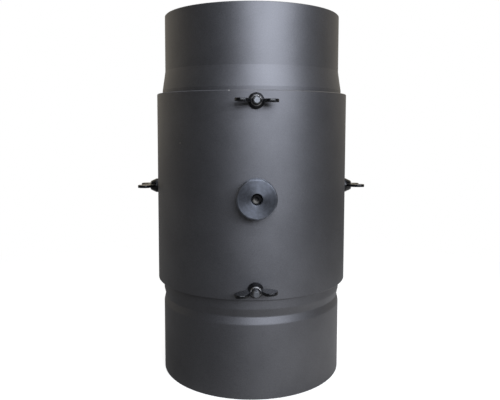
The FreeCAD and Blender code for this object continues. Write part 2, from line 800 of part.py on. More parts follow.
# The ceramic: every square channel that lies whole inside the skin runs right through
def make_filter_honeycomb():
    radius = size(BLOCK_RADIUS)
    pitch = size("cell_pitch")
    half_cell = (pitch - size("cell_web")) / 2
    limit = radius - size("block_skin")
    low, high = size(BLOCK_LOW), size(BLOCK_HIGH)
    wires = [Part.Wire([Part.makeCircle(radius, FreeCAD.Vector(0, 0, low))])]
    steps = int(radius // pitch) + 1
    for column in range(-steps, steps + 1):
        for row in range(-steps, steps + 1):
            x, y = column * pitch, row * pitch
            if math.hypot(abs(x) + half_cell, abs(y) + half_cell) > limit:
                continue
            corners = [
                FreeCAD.Vector(x - half_cell, y - half_cell, low),
                FreeCAD.Vector(x + half_cell, y - half_cell, low),
                FreeCAD.Vector(x + half_cell, y + half_cell, low),
                FreeCAD.Vector(x - half_cell, y + half_cell, low),
            ]
            wires.append(Part.makePolygon(corners + corners[:1]))
    face = Part.Face(wires, "Part::FaceMakerBullseye")
    block = document.addObject("Part::Feature", "filter_honeycomb")
    block.Shape = face.extrude(FreeCAD.Vector(0, 0, high - low))
    block.Label = "filter_honeycomb"
    block.Placement = FreeCAD.Placement(FreeCAD.Vector(0, 0, size(AXIS_HEIGHT)), FreeCAD.Rotation())
    return block


# A disc spring round the knob's neck: a coned ring, the second one turned over
def make_disc_spring(number):
    body = new_body("disc_spring_%d" % (number + 1))
    small = half("neck_diameter") + " + disc_clearance"
    large = half("disc_diameter")
    low = SPRING_SEAT + " + %d * disc_height" % number
    high = low + " + disc_height"
    if number % 2:
        corners = [
            (small, high + " - disc_thickness"),
            (large, low),
            (large, low + " + disc_thickness"),
            (small, high),
        ]
    else:
        corners = [
            (small, low),
            (large, high + " - disc_thickness"),
            (large, high),
            (small, low + " + disc_thickness"),
        ]
    revolve(body, "cone", corners)
    set_out(body, "front", AXIS_HEIGHT)
    return body


pieces = [make_pipe_body(), make_cover(), make_cover_gasket()]
for where in FASTENINGS:
    pieces += [make_stud(where), make_washer(where), make_wing_nut(where)]
pieces += [make_shaft_bush(), make_rear_bush()]
pieces += [make_filter_band(), make_support_mat(), make_filter_honeycomb(), make_retaining_ring()]
pieces += [make_drive_socket(), make_rear_pivot_pin()]
pieces += [make_knob_shaft(), make_thrust_washer()]
pieces += [make_disc_spring(number) for number in range(DISC_SPRINGS)]
pieces += [make_turning_knob(), make_knob_screw()]

document.recompute()
for item in document.Objects:
    if "Invalid" in item.State or "Error" in item.State:
        raise RuntimeError("%s failed: %s" % (item.Name, item.State))
for piece in pieces:
    if piece.Shape.isNull() or not piece.Shape.isValid() or len(piece.Shape.Solids) != 1:
        raise RuntimeError("%s has no sound solid" % piece.Label)

os.makedirs("parts", exist_ok=True)
for piece in pieces:
    piece.Shape.exportStep("parts/%s.step" % piece.Label)
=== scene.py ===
"""Looks of a stove pipe particulate filter: heat paint, hardware, turned knob, filter and studio."""
import logging
import math
from dataclasses import dataclass
from enum import Enum
from typing import Any, Mapping, Sequence

import bmesh
import bpy
from mathutils import Matrix, Vector


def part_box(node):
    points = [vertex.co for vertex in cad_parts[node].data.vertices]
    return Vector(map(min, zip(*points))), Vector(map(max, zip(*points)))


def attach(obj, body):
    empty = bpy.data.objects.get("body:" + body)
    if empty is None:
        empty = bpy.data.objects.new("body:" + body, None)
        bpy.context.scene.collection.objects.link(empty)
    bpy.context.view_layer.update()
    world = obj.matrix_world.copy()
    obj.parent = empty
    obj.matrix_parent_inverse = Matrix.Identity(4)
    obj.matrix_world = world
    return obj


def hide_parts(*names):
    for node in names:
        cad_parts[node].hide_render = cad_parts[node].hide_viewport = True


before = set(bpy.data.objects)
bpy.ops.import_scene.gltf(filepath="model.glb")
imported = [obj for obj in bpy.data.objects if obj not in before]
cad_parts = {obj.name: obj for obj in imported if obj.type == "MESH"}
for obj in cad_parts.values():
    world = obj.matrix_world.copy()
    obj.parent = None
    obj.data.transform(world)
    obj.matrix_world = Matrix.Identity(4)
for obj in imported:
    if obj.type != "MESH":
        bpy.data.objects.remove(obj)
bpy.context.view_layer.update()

LOG = logging.getLogger("particulate_filter")
MM = 0.001
QUARTER_TURN = math.pi / 2
# Faces that meet at more than this keep a sharp shade between them
SHARP_ANGLE = math.radians(12)
# Edges of a turned piece sharper than this are broken by a small bevel
BROKEN_ANGLE = math.radians(25)
# Share of its strength that each finer octave of a noise keeps
FINER_SHARE = 0.55
# Blender's wave texture goes through this many radians in one unit of length
WAVE_RADIANS = 20
SMOOTH = {"interpolation_type": "SMOOTHSTEP"}

Tree = bpy.types.NodeTree
Node = bpy.types.Node
Socket = bpy.types.NodeSocket
Mesh = bpy.types.Mesh


def box_mm(node: str) -> tuple[list[float], list[float]]:
    """Box of a CAD node, to the hundredth of a millimetre that its sizes are given in.

    Args:
        node: the node's name.

    Returns:
        Its lowest and its highest corner in mm.
    """
    low, high = ([round(float(value) / MM, 2) for value in corner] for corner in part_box(node))
    return low, high


def middle_height(node: str) -> float:
    """Height of a CAD node's middle above the socket's rim.

    Args:
        node: the node's name.

    Returns:
        The height in mm.
    """
    low, high = box_mm(node)
    return (low[2] + high[2]) / 2


AXIS_HEIGHT = middle_height("turning_knob")
COVER_RADIUS, _, COVER_TOP = box_mm("cover")[1]


class Facing(Enum):
    """Side of the pipe that a piece stands out of."""

    FRONT = "front"
    LEFT = "left"
    RIGHT = "right"

    @property
    def axis(self) -> int:
        """Index of the axis that the side looks along."""
        return 1 if self is Facing.FRONT else 0

    def matrix(self, height: float) -> Matrix:
        """Placement of a piece built along +Z from the pipe's axis.

        Args:
            height: height of the piece's own axis above the socket's rim, in mm.

        Returns:
            The matrix that turns +Z outwards and lifts the piece to its height.
        """
        turns = {
            Facing.FRONT: Matrix.Rotation(QUARTER_TURN, 4, "X"),
            Facing.LEFT: Matrix.Rotation(-QUARTER_TURN, 4, "Y"),
            Facing.RIGHT: Matrix.Rotation(QUARTER_TURN, 4, "Y"),
        }
        return Matrix.Translation((0.0, 0.0, height * MM)) @ turns[self]


class Fastening(Enum):
    """The four wing nut fastenings: word in their nodes' names and side of the pipe."""

    TOP = ("top", Facing.FRONT)
    BOTTOM = ("bottom", Facing.FRONT)
    LEFT = ("left", Facing.LEFT)
    RIGHT = ("right", Facing.RIGHT)


def linear(code: str) -> tuple[float, float, float, float]:
    """Turn an sRGB hex colour into linear light.

    Args:
        code: six hex digits with a leading hash.

    Returns:
        Linear red, green and blue, and an alpha of 1.
    """
    channels = [int(code[place:place + 2], 16) / 255 for place in (1, 3, 5)]
    light = [c / 12.92 if c <= 0.04045 else ((c + 0.055) / 1.055) ** 2.4 for c in channels]
    return light[0], light[1], light[2], 1.0


def feed(node: Node, inputs: Mapping[str | int, Any]) -> Node:
    """Give a node its values and links.

    Args:
        node: the node.
        inputs: for each input, by name or index, a value, an output, or a node for the first
            output that it has in use. The items of a list all go to one input.

    Returns:
        The same node.
    """
    for key, given in inputs.items():
        for value in given if isinstance(given, list) else [given]:
            if isinstance(value, Node):
                value = next(output for output in value.outputs if output.enabled)
            if isinstance(value, Socket):
                node.id_data.links.new(value, node.inputs[key])
            else:
                node.inputs[key].default_value = value
    return node


def add_node(tree: Tree, kind: str, inputs: Mapping[str | int, Any] | None = None,
             **settings: Any) -> Node:
    """Add a node with its settings, values and links.

    Args:
        tree: the tree that gets the node.
        kind: the node's type.
        inputs: its values and links, as feed() takes them.
        settings: attributes of the node.

    Returns:
        The new node.
    """
    node = tree.nodes.new(kind)
    for name, value in settings.items():
        setattr(node, name, value)
    return feed(node, inputs or {})


def grain(tree: Tree, size: float, octaves: float = 2.0,
          stretch: tuple[float, float, float] | None = None,
          levels: tuple[float, ...] | None = None) -> Node:
    """Pattern on the object's own coordinates whose grains measure a real length.

    Args:
        tree: the material's tree.
        size: width of a grain in mm.
        octaves: octaves of finer noise in it.
        stretch: scale of the coordinates on each axis. Below 1 it draws the grains out.
        levels: a low and a high noise, and the two values that they become, 0 and 1 where
            none are given, with a smooth step between them.

    Returns:
        The node that gives the pattern. Without levels it stays about 0.5.
    """
    place = add_node(tree, "ShaderNodeTexCoord").outputs["Object"]
    if stretch is not None:
        place = add_node(tree, "ShaderNodeMapping", {"Vector": place, "Scale": stretch})
    noise = add_node(tree, "ShaderNodeTexNoise", {
        "Vector": place, "Scale": 1 / (size * MM), "Detail": octaves, "Roughness": FINER_SHARE,
    })
    if levels is None:
        return noise
    return add_node(tree, "ShaderNodeMapRange", dict(enumerate([noise, *levels])), **SMOOTH)


def region(tree: Tree, *steps: tuple[Any, float, float]) -> Node:
    """Region with soft borders where one or more values are all past a step.

    Args:
        tree: the material's tree.
        steps: for each value, the value, where the region hasn't begun, and where it is full.

    Returns:
        The node that gives 1 inside the region and 0 outside.
    """
    inside = None
    for value, outer, inner in steps:
        step = add_node(tree, "ShaderNodeMapRange", {0: value, 1: outer, 2: inner}, **SMOOTH)
        inside = step if inside is None else add_node(
            tree, "ShaderNodeMath", {0: inside, 1: step}, operation="MULTIPLY")
    return inside


def coats(tree: Tree, ground: Any, *layers: tuple[Node, str]) -> Node:
    """Colour with one or more others laid over it by patterns.

    Args:
        tree: the material's tree.
        ground: the lowest colour, as a hex code or a node.
        layers: for each colour laid over it, the pattern that gives its share, and its hex code.

    Returns:
        The node that gives the colour.
    """
    colour = linear(ground) if isinstance(ground, str) else ground
    for share, code in layers:
        colour = add_node(tree, "ShaderNodeMix", {0: share, 6: colour, 7: linear(code)},
                          data_type="RGBA")
    return colour


def relief(tree: Tree, *layers: tuple[Node, float]) -> Node:
    """Surface with one or more patterns raised on it.

    Args:
        tree: the material's tree.
        layers: pattern and real depth in mm of each layer, the lowest first.

    Returns:
        The node that gives the raised surface's normal.
    """
    surface = None
    for pattern, depth in layers:
        inputs = {"Height": pattern, "Distance": depth * MM, "Strength": 1.0}
        if surface is not None:
            inputs["Normal"] = surface
        surface = add_node(tree, "ShaderNodeBump", inputs)
    return surface


def axis_distance(tree: Tree, across: str, up: str, centre: float) -> Node:
    """Distance from a straight axis, in mm.

    Args:
        tree: the material's tree.
        across: first direction at right angles to the axis, such as X.
        up: second direction at right angles to it, such as Z.
        centre: the axis's place along the second direction in mm.

    Returns:
        The node that gives the distance.
    """
    place = add_node(tree, "ShaderNodeTexCoord").outputs["Object"]
    parts = add_node(tree, "ShaderNodeSeparateXYZ", {0: place}).outputs
    lift = add_node(tree, "ShaderNodeMath", {0: parts[up], 1: centre * MM}, operation="SUBTRACT")
    flat = add_node(tree, "ShaderNodeMath", {0: parts[across], 1: parts[across]},
                    operation="MULTIPLY")
    both = add_node(tree, "ShaderNodeMath", {0: lift, 1: lift, 2: flat}, operation="MULTIPLY_ADD")
    metres = add_node(tree, "ShaderNodeMath", {0: both}, operation="SQRT")
    return add_node(tree, "ShaderNodeMath", {0: metres, 1: MM}, operation="DIVIDE")


def seen_directly(tree: Tree) -> Node:
    """Tell the camera's rays, also through glass, from those that light or mirror the object.

    Args:
        tree: a material's or the world's tree.

    Returns:
        The node that gives 1 for the camera's rays and 0 for the others.
    """
    ray = add_node(tree, "ShaderNodeLightPath").outputs
    return add_node(tree, "ShaderNodeMath",
                    {0: ray["Is Camera Ray"], 1: ray["Is Transmission Ray"]}, operation="MAXIMUM")


@dataclass(frozen=True)
class Finish:
    """A surface finish. A subclass adds its pattern. Lengths in all of them are in mm.

    Where the gloss follows a pattern, the roughness goes from `smoother` below its value to
    `rougher` above it while the pattern goes through `gloss_levels`.
    """

    name: str
    colour: str
    roughness: float
    metallic: float = 0.0
    specular: float = 0.5
    smoother: float = 0.0
    rougher: float = 0.0
    gloss_levels: tuple[float, float] = (0.3, 0.7)

    def material(self) -> bpy.types.Material:
        """The finish's material, built once.

        Returns:
            The material.
        """
        known = bpy.data.materials.get(self.name)
        if known is not None:
            return known
        material = bpy.data.materials.new(self.name)
        material.use_nodes = True
        tree = material.node_tree
        shader = feed(tree.nodes["Principled BSDF"], {
            "Base Color": linear(self.colour), "Roughness": self.roughness,
            "Metallic": self.metallic,
        })
        # A metal keeps the default reflection level
        if self.metallic < 1.0:
            feed(shader, {"Specular IOR Level": self.specular})
        feed(shader, self.pattern(tree))
        return material

    def gloss(self, tree: Tree, pattern: Node) -> Node:
        """Roughness that follows a pattern.

        Args:
            tree: the material's tree.
            pattern: the pattern.

        Returns:
            The node that gives the roughness.
        """
        low, high = self.gloss_levels
        return add_node(tree, "ShaderNodeMapRange", {
            0: pattern, 1: low, 2: high,
            3: self.roughness - self.smoother, 4: self.roughness + self.rougher,
        }, **SMOOTH)

    def pattern(self, tree: Tree) -> dict[str, Any]:
        """Nodes of the finish's pattern: none on a plain one.

        Args:
            tree: the material's tree.

        Returns:
            What goes to each of the shader's inputs.
        """
        return {}


@dataclass(frozen=True)
class HeatPaint(Finish):
    """Sprayed and baked heat-resistant paint on steel sheet, dark cast-iron grey.

    It gives a satin, faintly metallic surface with a fine dry grain, a shallow orange peel
    and slow cloudy changes of shade.
    """

    name: str = "heat_resistant_flue_paint"
    colour: str = "#767679"
    cloud: str = "#7c7c7f"
    # Bare sheet of the chips, and the painted highlight on the top edge
    bare_and_lit: str = "#b9b6b0"
    roughness: float = 0.53
    metallic: float = 0.97
    smoother: float = 0.03
    rougher: float = 0.03
    # Grain of 0.1 mm is too fine to show, so it is drawn at about half a millimetre
    grain_size: float = 0.45
    grain_depth: float = 0.006
    grain_shades: tuple[float, float, float, float] = (0.38, 0.62, 0.9, 1.1)
    peel_size: float = 1.8
    peel_depth: float = 0.006
    cloud_size: float = 38.0
    cloud_levels: tuple[float, float] = (0.35, 0.65)
    # The seam weld up the pipe's back
    seam_width: float = 1.3
    seam_top_width: float = 0.39
    seam_height: float = 0.25
    seam_behind: float = 20.0
    ripple_length: float = 1.6
    ripple_wander: float = 1.5
    ripple_dip: float = 0.6
    # The cover's top edge: only dulled on the left, and from the middle on painted paler as a
    # highlight
    edge_below: tuple[float, float] = (0.7, 0.25)
    edge_above: tuple[float, float] = (0.25, 0.1)
    edge_inward: tuple[float, float] = (0.75, 0.45)
    highlight_from: tuple[float, float] = (-26.0, -4.0)
    highlight_patch_size: float = 9.0
    highlight_patch_levels: tuple[float, float, float, float] = (0.35, 0.6, 0.18, 0.3)
    rubbed_dulling: float = 0.3
    # Place and radius of each chip
    chips: tuple[tuple[float, float, float, float], ...] = (
        (-19.87, -79.16, COVER_TOP - 0.2, 0.7),
        (-57.86, -57.61, 197.85, 0.45),
    )
    chip_blur: tuple[float, float] = (0.1, 0.15)
    chip_ragged: float = 0.45
    chip_ragged_size: float = 0.7
    chip_depth: float = 0.06

    def chipped(self, tree: Tree, place: Socket) -> Node:
        """Where the paint is chipped to bare sheet.

        Args:
            tree: the material's tree.
            place: position on the object.

        Returns:
            The node that gives 1 on a chip and 0 elsewhere.
        """
        ragged = add_node(tree, "ShaderNodeMath", {
            0: grain(tree, self.chip_ragged_size),
            1: 2 * self.chip_ragged * MM,
            2: -self.chip_ragged * MM,
        }, operation="MULTIPLY_ADD")
        outward, inward = self.chip_blur
        chipped = None
        for x, y, z, radius in self.chips:
            away = add_node(tree, "ShaderNodeVectorMath", {0: place, 1: (x * MM, y * MM, z * MM)},
                            operation="DISTANCE")
            near = add_node(tree, "ShaderNodeMath", {0: away, 1: ragged}, operation="ADD")
            spot = region(tree, (near, (radius + outward) * MM, (radius - inward) * MM))
            chipped = spot if chipped is None else add_node(
                tree, "ShaderNodeMath", {0: chipped, 1: spot}, operation="MAXIMUM")
        return chipped

    def edge_band(self, tree: Tree, height: Socket) -> Node:
        """The cover's outer top edge, dulled, and from the middle on painted with a pale highlight.

        Args:
            tree: the material's tree.
            height: height on the object.

        Returns:
            The node that gives 1 on the outer top edge and 0 elsewhere.
        """
        below, above, inward = self.edge_below, self.edge_above, self.edge_inward
        return region(
            tree,
            (height, (COVER_TOP - below[0]) * MM, (COVER_TOP - below[1]) * MM),
            (height, (COVER_TOP + above[0]) * MM, (COVER_TOP + above[1]) * MM),
            (axis_distance(tree, "X", "Y", 0.0), COVER_RADIUS - inward[0], COVER_RADIUS - inward[1]),
        )

    def seam_weld(self, tree: Tree, place: Socket, parts: Mapping[str, Socket]) -> Node:
        """Low ridge of the rolled sheet's seam weld, which runs up the back under the paint.

        Args:
            tree: the material's tree.
            place: position on the object.
            parts: its X, Y and Z.

        Returns:
            The node that gives the ridge's height from 0 to 1.
        """
        off = add_node(tree, "ShaderNodeMath", {0: parts["X"]}, operation="ABSOLUTE")
        ridge = region(
            tree,
            (parts["Y"], 0.0, self.seam_behind * MM),
            (off, self.seam_width * MM, self.seam_top_width * MM),
        )
        ripple = add_node(tree, "ShaderNodeTexWave", {
            "Vector": place, "Scale": 1 / (self.ripple_length * MM) / WAVE_RADIANS,
            "Distortion": self.ripple_wander, "Detail": 1.0,
        }, bands_direction="Z")
        beads = add_node(tree, "ShaderNodeMapRange", {
            0: ripple.outputs["Fac"], 1: 0.0, 2: 1.0, 3: self.ripple_dip, 4: 1.0,
        }, **SMOOTH)
        return add_node(tree, "ShaderNodeMath", {0: ridge, 1: beads}, operation="MULTIPLY")

    def pattern(self, tree: Tree) -> dict[str, Any]:
        """Clouds, grain, orange peel, seam weld, the top edge's dulling and painted highlight, and
        chips.

        Args:
            tree: the material's tree.

        Returns:
            What goes to each of the shader's inputs.
        """
        place = add_node(tree, "ShaderNodeTexCoord").outputs["Object"]
        parts = add_node(tree, "ShaderNodeSeparateXYZ", {0: place}).outputs
        clouds = grain(tree, self.cloud_size, 3.0, levels=self.cloud_levels)
        fine = grain(tree, self.grain_size, 1.0)
        shades = add_node(tree, "ShaderNodeMapRange",
                          dict(enumerate([fine, *self.grain_shades])), **SMOOTH)
        speckled = add_node(tree, "ShaderNodeVectorMath", {
            0: coats(tree, self.colour, (clouds, self.cloud)), "Scale": shades,
        }, operation="SCALE")
        band = self.edge_band(tree, parts["Z"])
        dull_end, pale_start = self.highlight_from
        highlight_side = region(tree, (parts["X"], dull_end * MM, pale_start * MM))
        highlight_zone = add_node(tree, "ShaderNodeMath", {0: band, 1: highlight_side}, operation="MULTIPLY")
        patchy = grain(tree, self.highlight_patch_size, 3.0, levels=self.highlight_patch_levels)
        # Painted highlight in patches along the top edge, from the middle on
        painted_light = add_node(tree, "ShaderNodeMath", {0: highlight_zone, 1: patchy}, operation="MULTIPLY")
        dulled = add_node(tree, "ShaderNodeMath", {0: band, 1: highlight_zone}, operation="SUBTRACT")
        chipped = self.chipped(tree, place)
        whole = add_node(tree, "ShaderNodeMath", {0: 1.0, 1: chipped}, operation="SUBTRACT")
        return {
            "Base Color": coats(tree, speckled, (painted_light, self.bare_and_lit), (chipped, self.bare_and_lit)),
            "Roughness": add_node(tree, "ShaderNodeMath", {
                0: dulled, 1: self.rubbed_dulling, 2: self.gloss(tree, fine),
            }, operation="MULTIPLY_ADD"),
            "Normal": relief(
                tree,
                (grain(tree, self.peel_size, 1.0), self.peel_depth),
                (fine, self.grain_depth),
                (self.seam_weld(tree, place, parts), self.seam_height),
                (whole, self.chip_depth),
            ),
        }


@dataclass(frozen=True)
class BlackEnamel(Finish):
    """Dipped and baked glossy black enamel on a cast wing nut.

    It gives a deep black with sharp glints, soft ripples of the casting, and a bright ring
    of bare metal round the stud, worn by the thread and made bright as a painted highlight.
    """

    name: str = "black_baked_enamel"
    colour: str = "#08080a"
    thin: str = "#121418"
    # Bare metal of the worn ring, made bright as a painted highlight
    bare_and_lit: str = "#b8b7b7"
    roughness: float = 0.22
    specular: float = 0.6
    rougher: float = 0.1
    gloss_levels: tuple[float, float] = (0.35, 0.7)
    ripple_size: float = 1.6
    ripple_depth: float = 0.03
    thin_levels: tuple[float, float] = (0.4, 0.7)
    pit_size: float = 0.5
    pit_depth: float = 0.005
    ring_inside: float = 3.5
    ring_outside: float = 4.4
    ring_blur: float = 0.3
    ring_ragged: float = 0.12

    def pattern(self, tree: Tree) -> dict[str, Any]:
        """Casting ripples, dust on the gloss and the worn ring at the crown, also a painted
        highlight.

        Args:
            tree: the material's tree.

        Returns:
            What goes to each of the shader's inputs.
        """
        cast = grain(tree, self.ripple_size)
        pits = grain(tree, self.pit_size, 1.0)
        reach = add_node(tree, "ShaderNodeAttribute", attribute_name="axis_distance")
        ragged = add_node(tree, "ShaderNodeMath",
                          {0: pits, 1: self.ring_ragged, 2: reach.outputs["Fac"]},
                          operation="MULTIPLY_ADD")
        # Ring of bare metal round the crown, worn and also a painted highlight
        worn_and_lit = region(
            tree,
            (ragged, self.ring_inside, self.ring_inside + self.ring_blur),
            (ragged, self.ring_outside, self.ring_outside - self.ring_blur),
        )
        thinned = region(tree, (cast, *self.thin_levels))
        return {
            "Base Color": coats(tree, self.colour, (thinned, self.thin), (worn_and_lit, self.bare_and_lit)),
            "Metallic": worn_and_lit,
            "Roughness": self.gloss(tree, pits),
            "Normal": relief(tree, (cast, self.ripple_depth), (pits, self.pit_depth)),
        }


@dataclass(frozen=True)
class PlainEnamel(Finish):
    """The same black enamel on flat washers, duller where the nut turns on them."""

    name: str = "black_washer_enamel"
    colour: str = "#0b0b0d"
    scuffed: str = "#17171a"
    roughness: float = 0.32
    smoother: float = 0.08
    rougher: float = 0.14
    gloss_levels: tuple[float, float] = (0.35, 0.65)
    scuff_size: float = 0.8
    scuff_depth: float = 0.01

    def pattern(self, tree: Tree) -> dict[str, Any]:
        """Dust and shallow scuffs.

        Args:
            tree: the material's tree.

        Returns:
            What goes to each of the shader's inputs.
        """
        scuffs = grain(tree, self.scuff_size, 3.0)
        return {
            "Base Color": coats(tree, self.colour, (scuffs, self.scuffed)),
            "Roughness": self.gloss(tree, scuffs),
            "Normal": relief(tree, (scuffs, self.scuff_depth)),
        }


@dataclass(frozen=True)
class BrightZinc(Finish):
    """Bright zinc plating on a weld stud with a rolled thread.

    It gives a pale, slightly blue metal with soft, cloudy gloss.
    """

    name: str = "bright_zinc_plate"
    colour: str = "#7d8085"
    pale: str = "#8d8e90"
    roughness: float = 0.46
    metallic: float = 1.0
    smoother: float = 0.04
    rougher: float = 0.06
    cloud_size: float = 1.2
    pit_size: float = 0.3
    pit_depth: float = 0.002

    def pattern(self, tree: Tree) -> dict[str, Any]:
        """The plating's clouds and fine pits.

        Args:
            tree: the material's tree.

        Returns:
            What goes to each of the shader's inputs.
        """
        clouds = grain(tree, self.cloud_size, 3.0)
        return {
            "Base Color": coats(tree, self.colour, (clouds, self.pale)),
            "Roughness": self.gloss(tree, clouds),
            "Normal": relief(tree, (grain(tree, self.pit_size, 1.0), self.pit_depth)),
        }


@dataclass(frozen=True)
class TurnedSteel(Finish):
    """Steel turned on a lathe, its marks running round the turning gear's axis.

    It gives stretched highlights that point away from the axis on a faced surface.
    """

    name: str = "turned_steel"
    colour: str = "#8f8d8a"
    oiled: str = "#8f8d8a"
    roughness: float = 0.34
    metallic: float = 1.0
    smoother: float = 0.05
    rougher: float = 0.07
    # The feed of about 0.1 mm a turn is too fine to show, so its marks are drawn coarser
    feed_width: float = 0.55
    finer_share: float = 0.7
    mark_shades: tuple[float, float, float, float] = (0.3, 0.7, 0.88, 1.1)
    mark_depth: float = 0.006
    anisotropy: float = 0.6
    # A quarter turn stretches the gloss across the marks, as fine grooves do
    gloss_turn: float = 0.25
    film_size: float = 2.4
    film_levels: tuple[float, float] = (0.3, 0.7)
    # The front edge, rubbed paler by hands and also a painted highlight
    rim_reach: tuple[float, float] = (13.8, 14.1)
    rim_highlight_gain: float = 1.0

    def pattern(self, tree: Tree) -> dict[str, Any]:
        """Turning marks, stretched gloss, a faint film of oil and the front edge, rubbed and painted
        paler as a highlight.

        Args:
            tree: the material's tree.

        Returns:
            What goes to each of the shader's inputs.
        """
        place = add_node(tree, "ShaderNodeTexCoord").outputs["Object"]
        arm = add_node(tree, "ShaderNodeVectorMath",
                       {0: place, 1: (0.0, 0.0, AXIS_HEIGHT * MM)}, operation="SUBTRACT")
        along = add_node(tree, "ShaderNodeVectorMath", {0: arm, 1: (0.0, 1.0, 0.0)},
                         operation="CROSS_PRODUCT")
        reach = axis_distance(tree, "X", "Z", AXIS_HEIGHT)
        marks = add_node(tree, "ShaderNodeTexNoise", {
            "W": reach, "Scale": 1 / self.feed_width, "Detail": 4.0, "Roughness": self.finer_share,
        }, noise_dimensions="1D")
        film = grain(tree, self.film_size, 3.0, levels=self.film_levels)
        # The outer edge made paler: rubbed, and a painted highlight
        worn_and_lit = add_node(tree, "ShaderNodeMapRange",
                        dict(enumerate([reach, *self.rim_reach, 1.0, self.rim_highlight_gain])), **SMOOTH)
        shades = add_node(tree, "ShaderNodeMapRange",
                          dict(enumerate([marks, *self.mark_shades])), **SMOOTH)
        gain = add_node(tree, "ShaderNodeMath", {0: worn_and_lit, 1: shades}, operation="MULTIPLY")
        return {
            "Base Color": add_node(tree, "ShaderNodeVectorMath", {
                0: coats(tree, self.colour, (film, self.oiled)), "Scale": gain,
            }, operation="SCALE"),
            "Roughness": self.gloss(tree, marks),
            "Normal": relief(tree, (marks, self.mark_depth)),
            "Tangent": along,
            "Anisotropic": self.anisotropy,
            "Anisotropic Rotation": self.gloss_turn,
        }


@dataclass(frozen=True)
class KnobSteel(TurnedSteel):
    """Turned steel, chemically blacked, on the knob: darker and bluer than the shaft behind it."""

    name: str = "blacked_turned_steel"
    colour: str = "#6f727a"
    oiled: str = "#64676d"
    roughness: float = 0.44
    anisotropy: float = 0.62
    mark_depth: float = 0.002
    # The knob's outer edge is painted paler as a highlight
    rim_highlight_gain: float = 1.5


@dataclass(frozen=True)
class OxideScrew(Finish):
    """Black oxide on a forged socket-head screw: near black, with a pale patch painted at the lower
    left of its face where light falls into the key's socket.
    """

    name: str = "black_oxide_screw"
    colour: str = "#161617"
    thin: str = "#2c2b2b"
    # Colour of the painted lit patch
    bare_and_lit: str = "#98958f"
    roughness: float = 0.42
    metallic: float = 1.0
    mottle_size: float = 0.5
    mottle_depth: float = 0.006
    # The painted lit patch, from the middle of the screw's face
    patch_right: float = -0.9
    patch_up: float = -1.3
    patch_reach: tuple[float, float] = (3.5, 1.0)
    patch_ragged: float = 1.2

    def pattern(self, tree: Tree) -> dict[str, Any]:
        """The oxide's mottle and the painted lit patch beside the key's socket.

        Args:
            tree: the material's tree.

        Returns:
            What goes to each of the shader's inputs.
        """
        place = add_node(tree, "ShaderNodeTexCoord").outputs["Object"]
        mottle = grain(tree, self.mottle_size, 3.0)
        face = box_mm("knob_screw")[0][1]
        middle = (self.patch_right * MM, face * MM, (AXIS_HEIGHT + self.patch_up) * MM)
        away = add_node(tree, "ShaderNodeVectorMath", {0: place, 1: middle}, operation="DISTANCE")
        ragged = add_node(tree, "ShaderNodeMath", {0: mottle, 1: self.patch_ragged * MM, 2: away},
                          operation="MULTIPLY_ADD")
        outer, inner = self.patch_reach
        # Painted lit patch where light falls into the key's socket
        painted_light = region(tree, (ragged, outer * MM, inner * MM))
        return {
            "Base Color": coats(tree, self.colour, (mottle, self.thin), (painted_light, self.bare_and_lit)),
            "Normal": relief(tree, (mottle, self.mottle_depth)),
        }


@dataclass(frozen=True)
class BluedSpring(Finish):
    """Blued spring steel of the disc springs: dark, slightly blue, with a dull shine."""

    name: str = "blued_spring_steel"
    colour: str = "#282c36"
    warm: str = "#3b3a3c"
    roughness: float = 0.36
    metallic: float = 1.0
    drift_size: float = 5.0
    scale_size: float = 0.6
    scale_depth: float = 0.008

    def pattern(self, tree: Tree) -> dict[str, Any]:
        """The heat colour's drift and a thin scale.

        Args:
            tree: the material's tree.

        Returns:
            What goes to each of the shader's inputs.
        """
        return {
            "Base Color": coats(tree, self.colour, (grain(tree, self.drift_size), self.warm)),
            "Normal": relief(tree, (grain(tree, self.scale_size), self.scale_depth)),
        }


@dataclass(frozen=True)
class StainlessSheet(Finish):
    """Cold-rolled stainless sheet, 2B surface, on the filter's band: pale satin metal."""

    name: str = "cold_rolled_stainless"
    colour: str = "#b3afa8"
    straw: str = "#b09d7e"
    roughness: float = 0.33
    metallic: float = 1.0
    smoother: float = 0.06
    rougher: float = 0.08
    tint_size: float = 30.0
    tint_levels: tuple[float, float] = (0.4, 0.75)
    line_width: float = 0.7
    line_depth: float = 0.008
    line_stretch: tuple[float, float, float] = (0.08, 0.08, 1.0)

    def pattern(self, tree: Tree) -> dict[str, Any]:
        """Rolling lines that run round the band, and light heat tint.

        Args:
            tree: the material's tree.

        Returns:
            What goes to each of the shader's inputs.
        """
        lines = grain(tree, self.line_width, 3.0, self.line_stretch)
        tint = grain(tree, self.tint_size, levels=self.tint_levels)
        return {
            "Base Color": coats(tree, self.colour, (tint, self.straw)),
            "Roughness": self.gloss(tree, lines),
            "Normal": relief(tree, (lines, self.line_depth)),
        }


@dataclass(frozen=True)
class Cordierite(Finish):
    """Extruded and fired cordierite honeycomb: matt, chalky buff with iron specks."""

    name: str = "fired_cordierite"
    colour: str = "#d6c7ab"
    fired: str = "#c7b48f"
    iron: str = "#8d6f4a"
    roughness: float = 0.88
    cloud_size: float = 22.0
    cloud_levels: tuple[float, float] = (0.3, 0.7)
    speck_size: float = 0.9
    speck_levels: tuple[float, float] = (0.71, 0.76)
    drag_width: float = 0.5
    drag_depth: float = 0.04
    drag_stretch: tuple[float, float, float] = (1.0, 1.0, 0.06)
    pore_size: float = 0.35
    pore_depth: float = 0.03

    def pattern(self, tree: Tree) -> dict[str, Any]:
        """Firing clouds, specks, pores and the die's drag lines up the channels.

        Args:
            tree: the material's tree.

        Returns:
            What goes to each of the shader's inputs.
        """
        clouds = grain(tree, self.cloud_size, 3.0, levels=self.cloud_levels)
        specks = grain(tree, self.speck_size, 0.0, levels=self.speck_levels)
        drag = grain(tree, self.drag_width, stretch=self.drag_stretch)
        pores = grain(tree, self.pore_size)
        return {
            "Base Color": coats(tree, self.colour, (clouds, self.fired), (specks, self.iron)),
            "Normal": relief(tree, (drag, self.drag_depth), (pores, self.pore_depth)),
        }


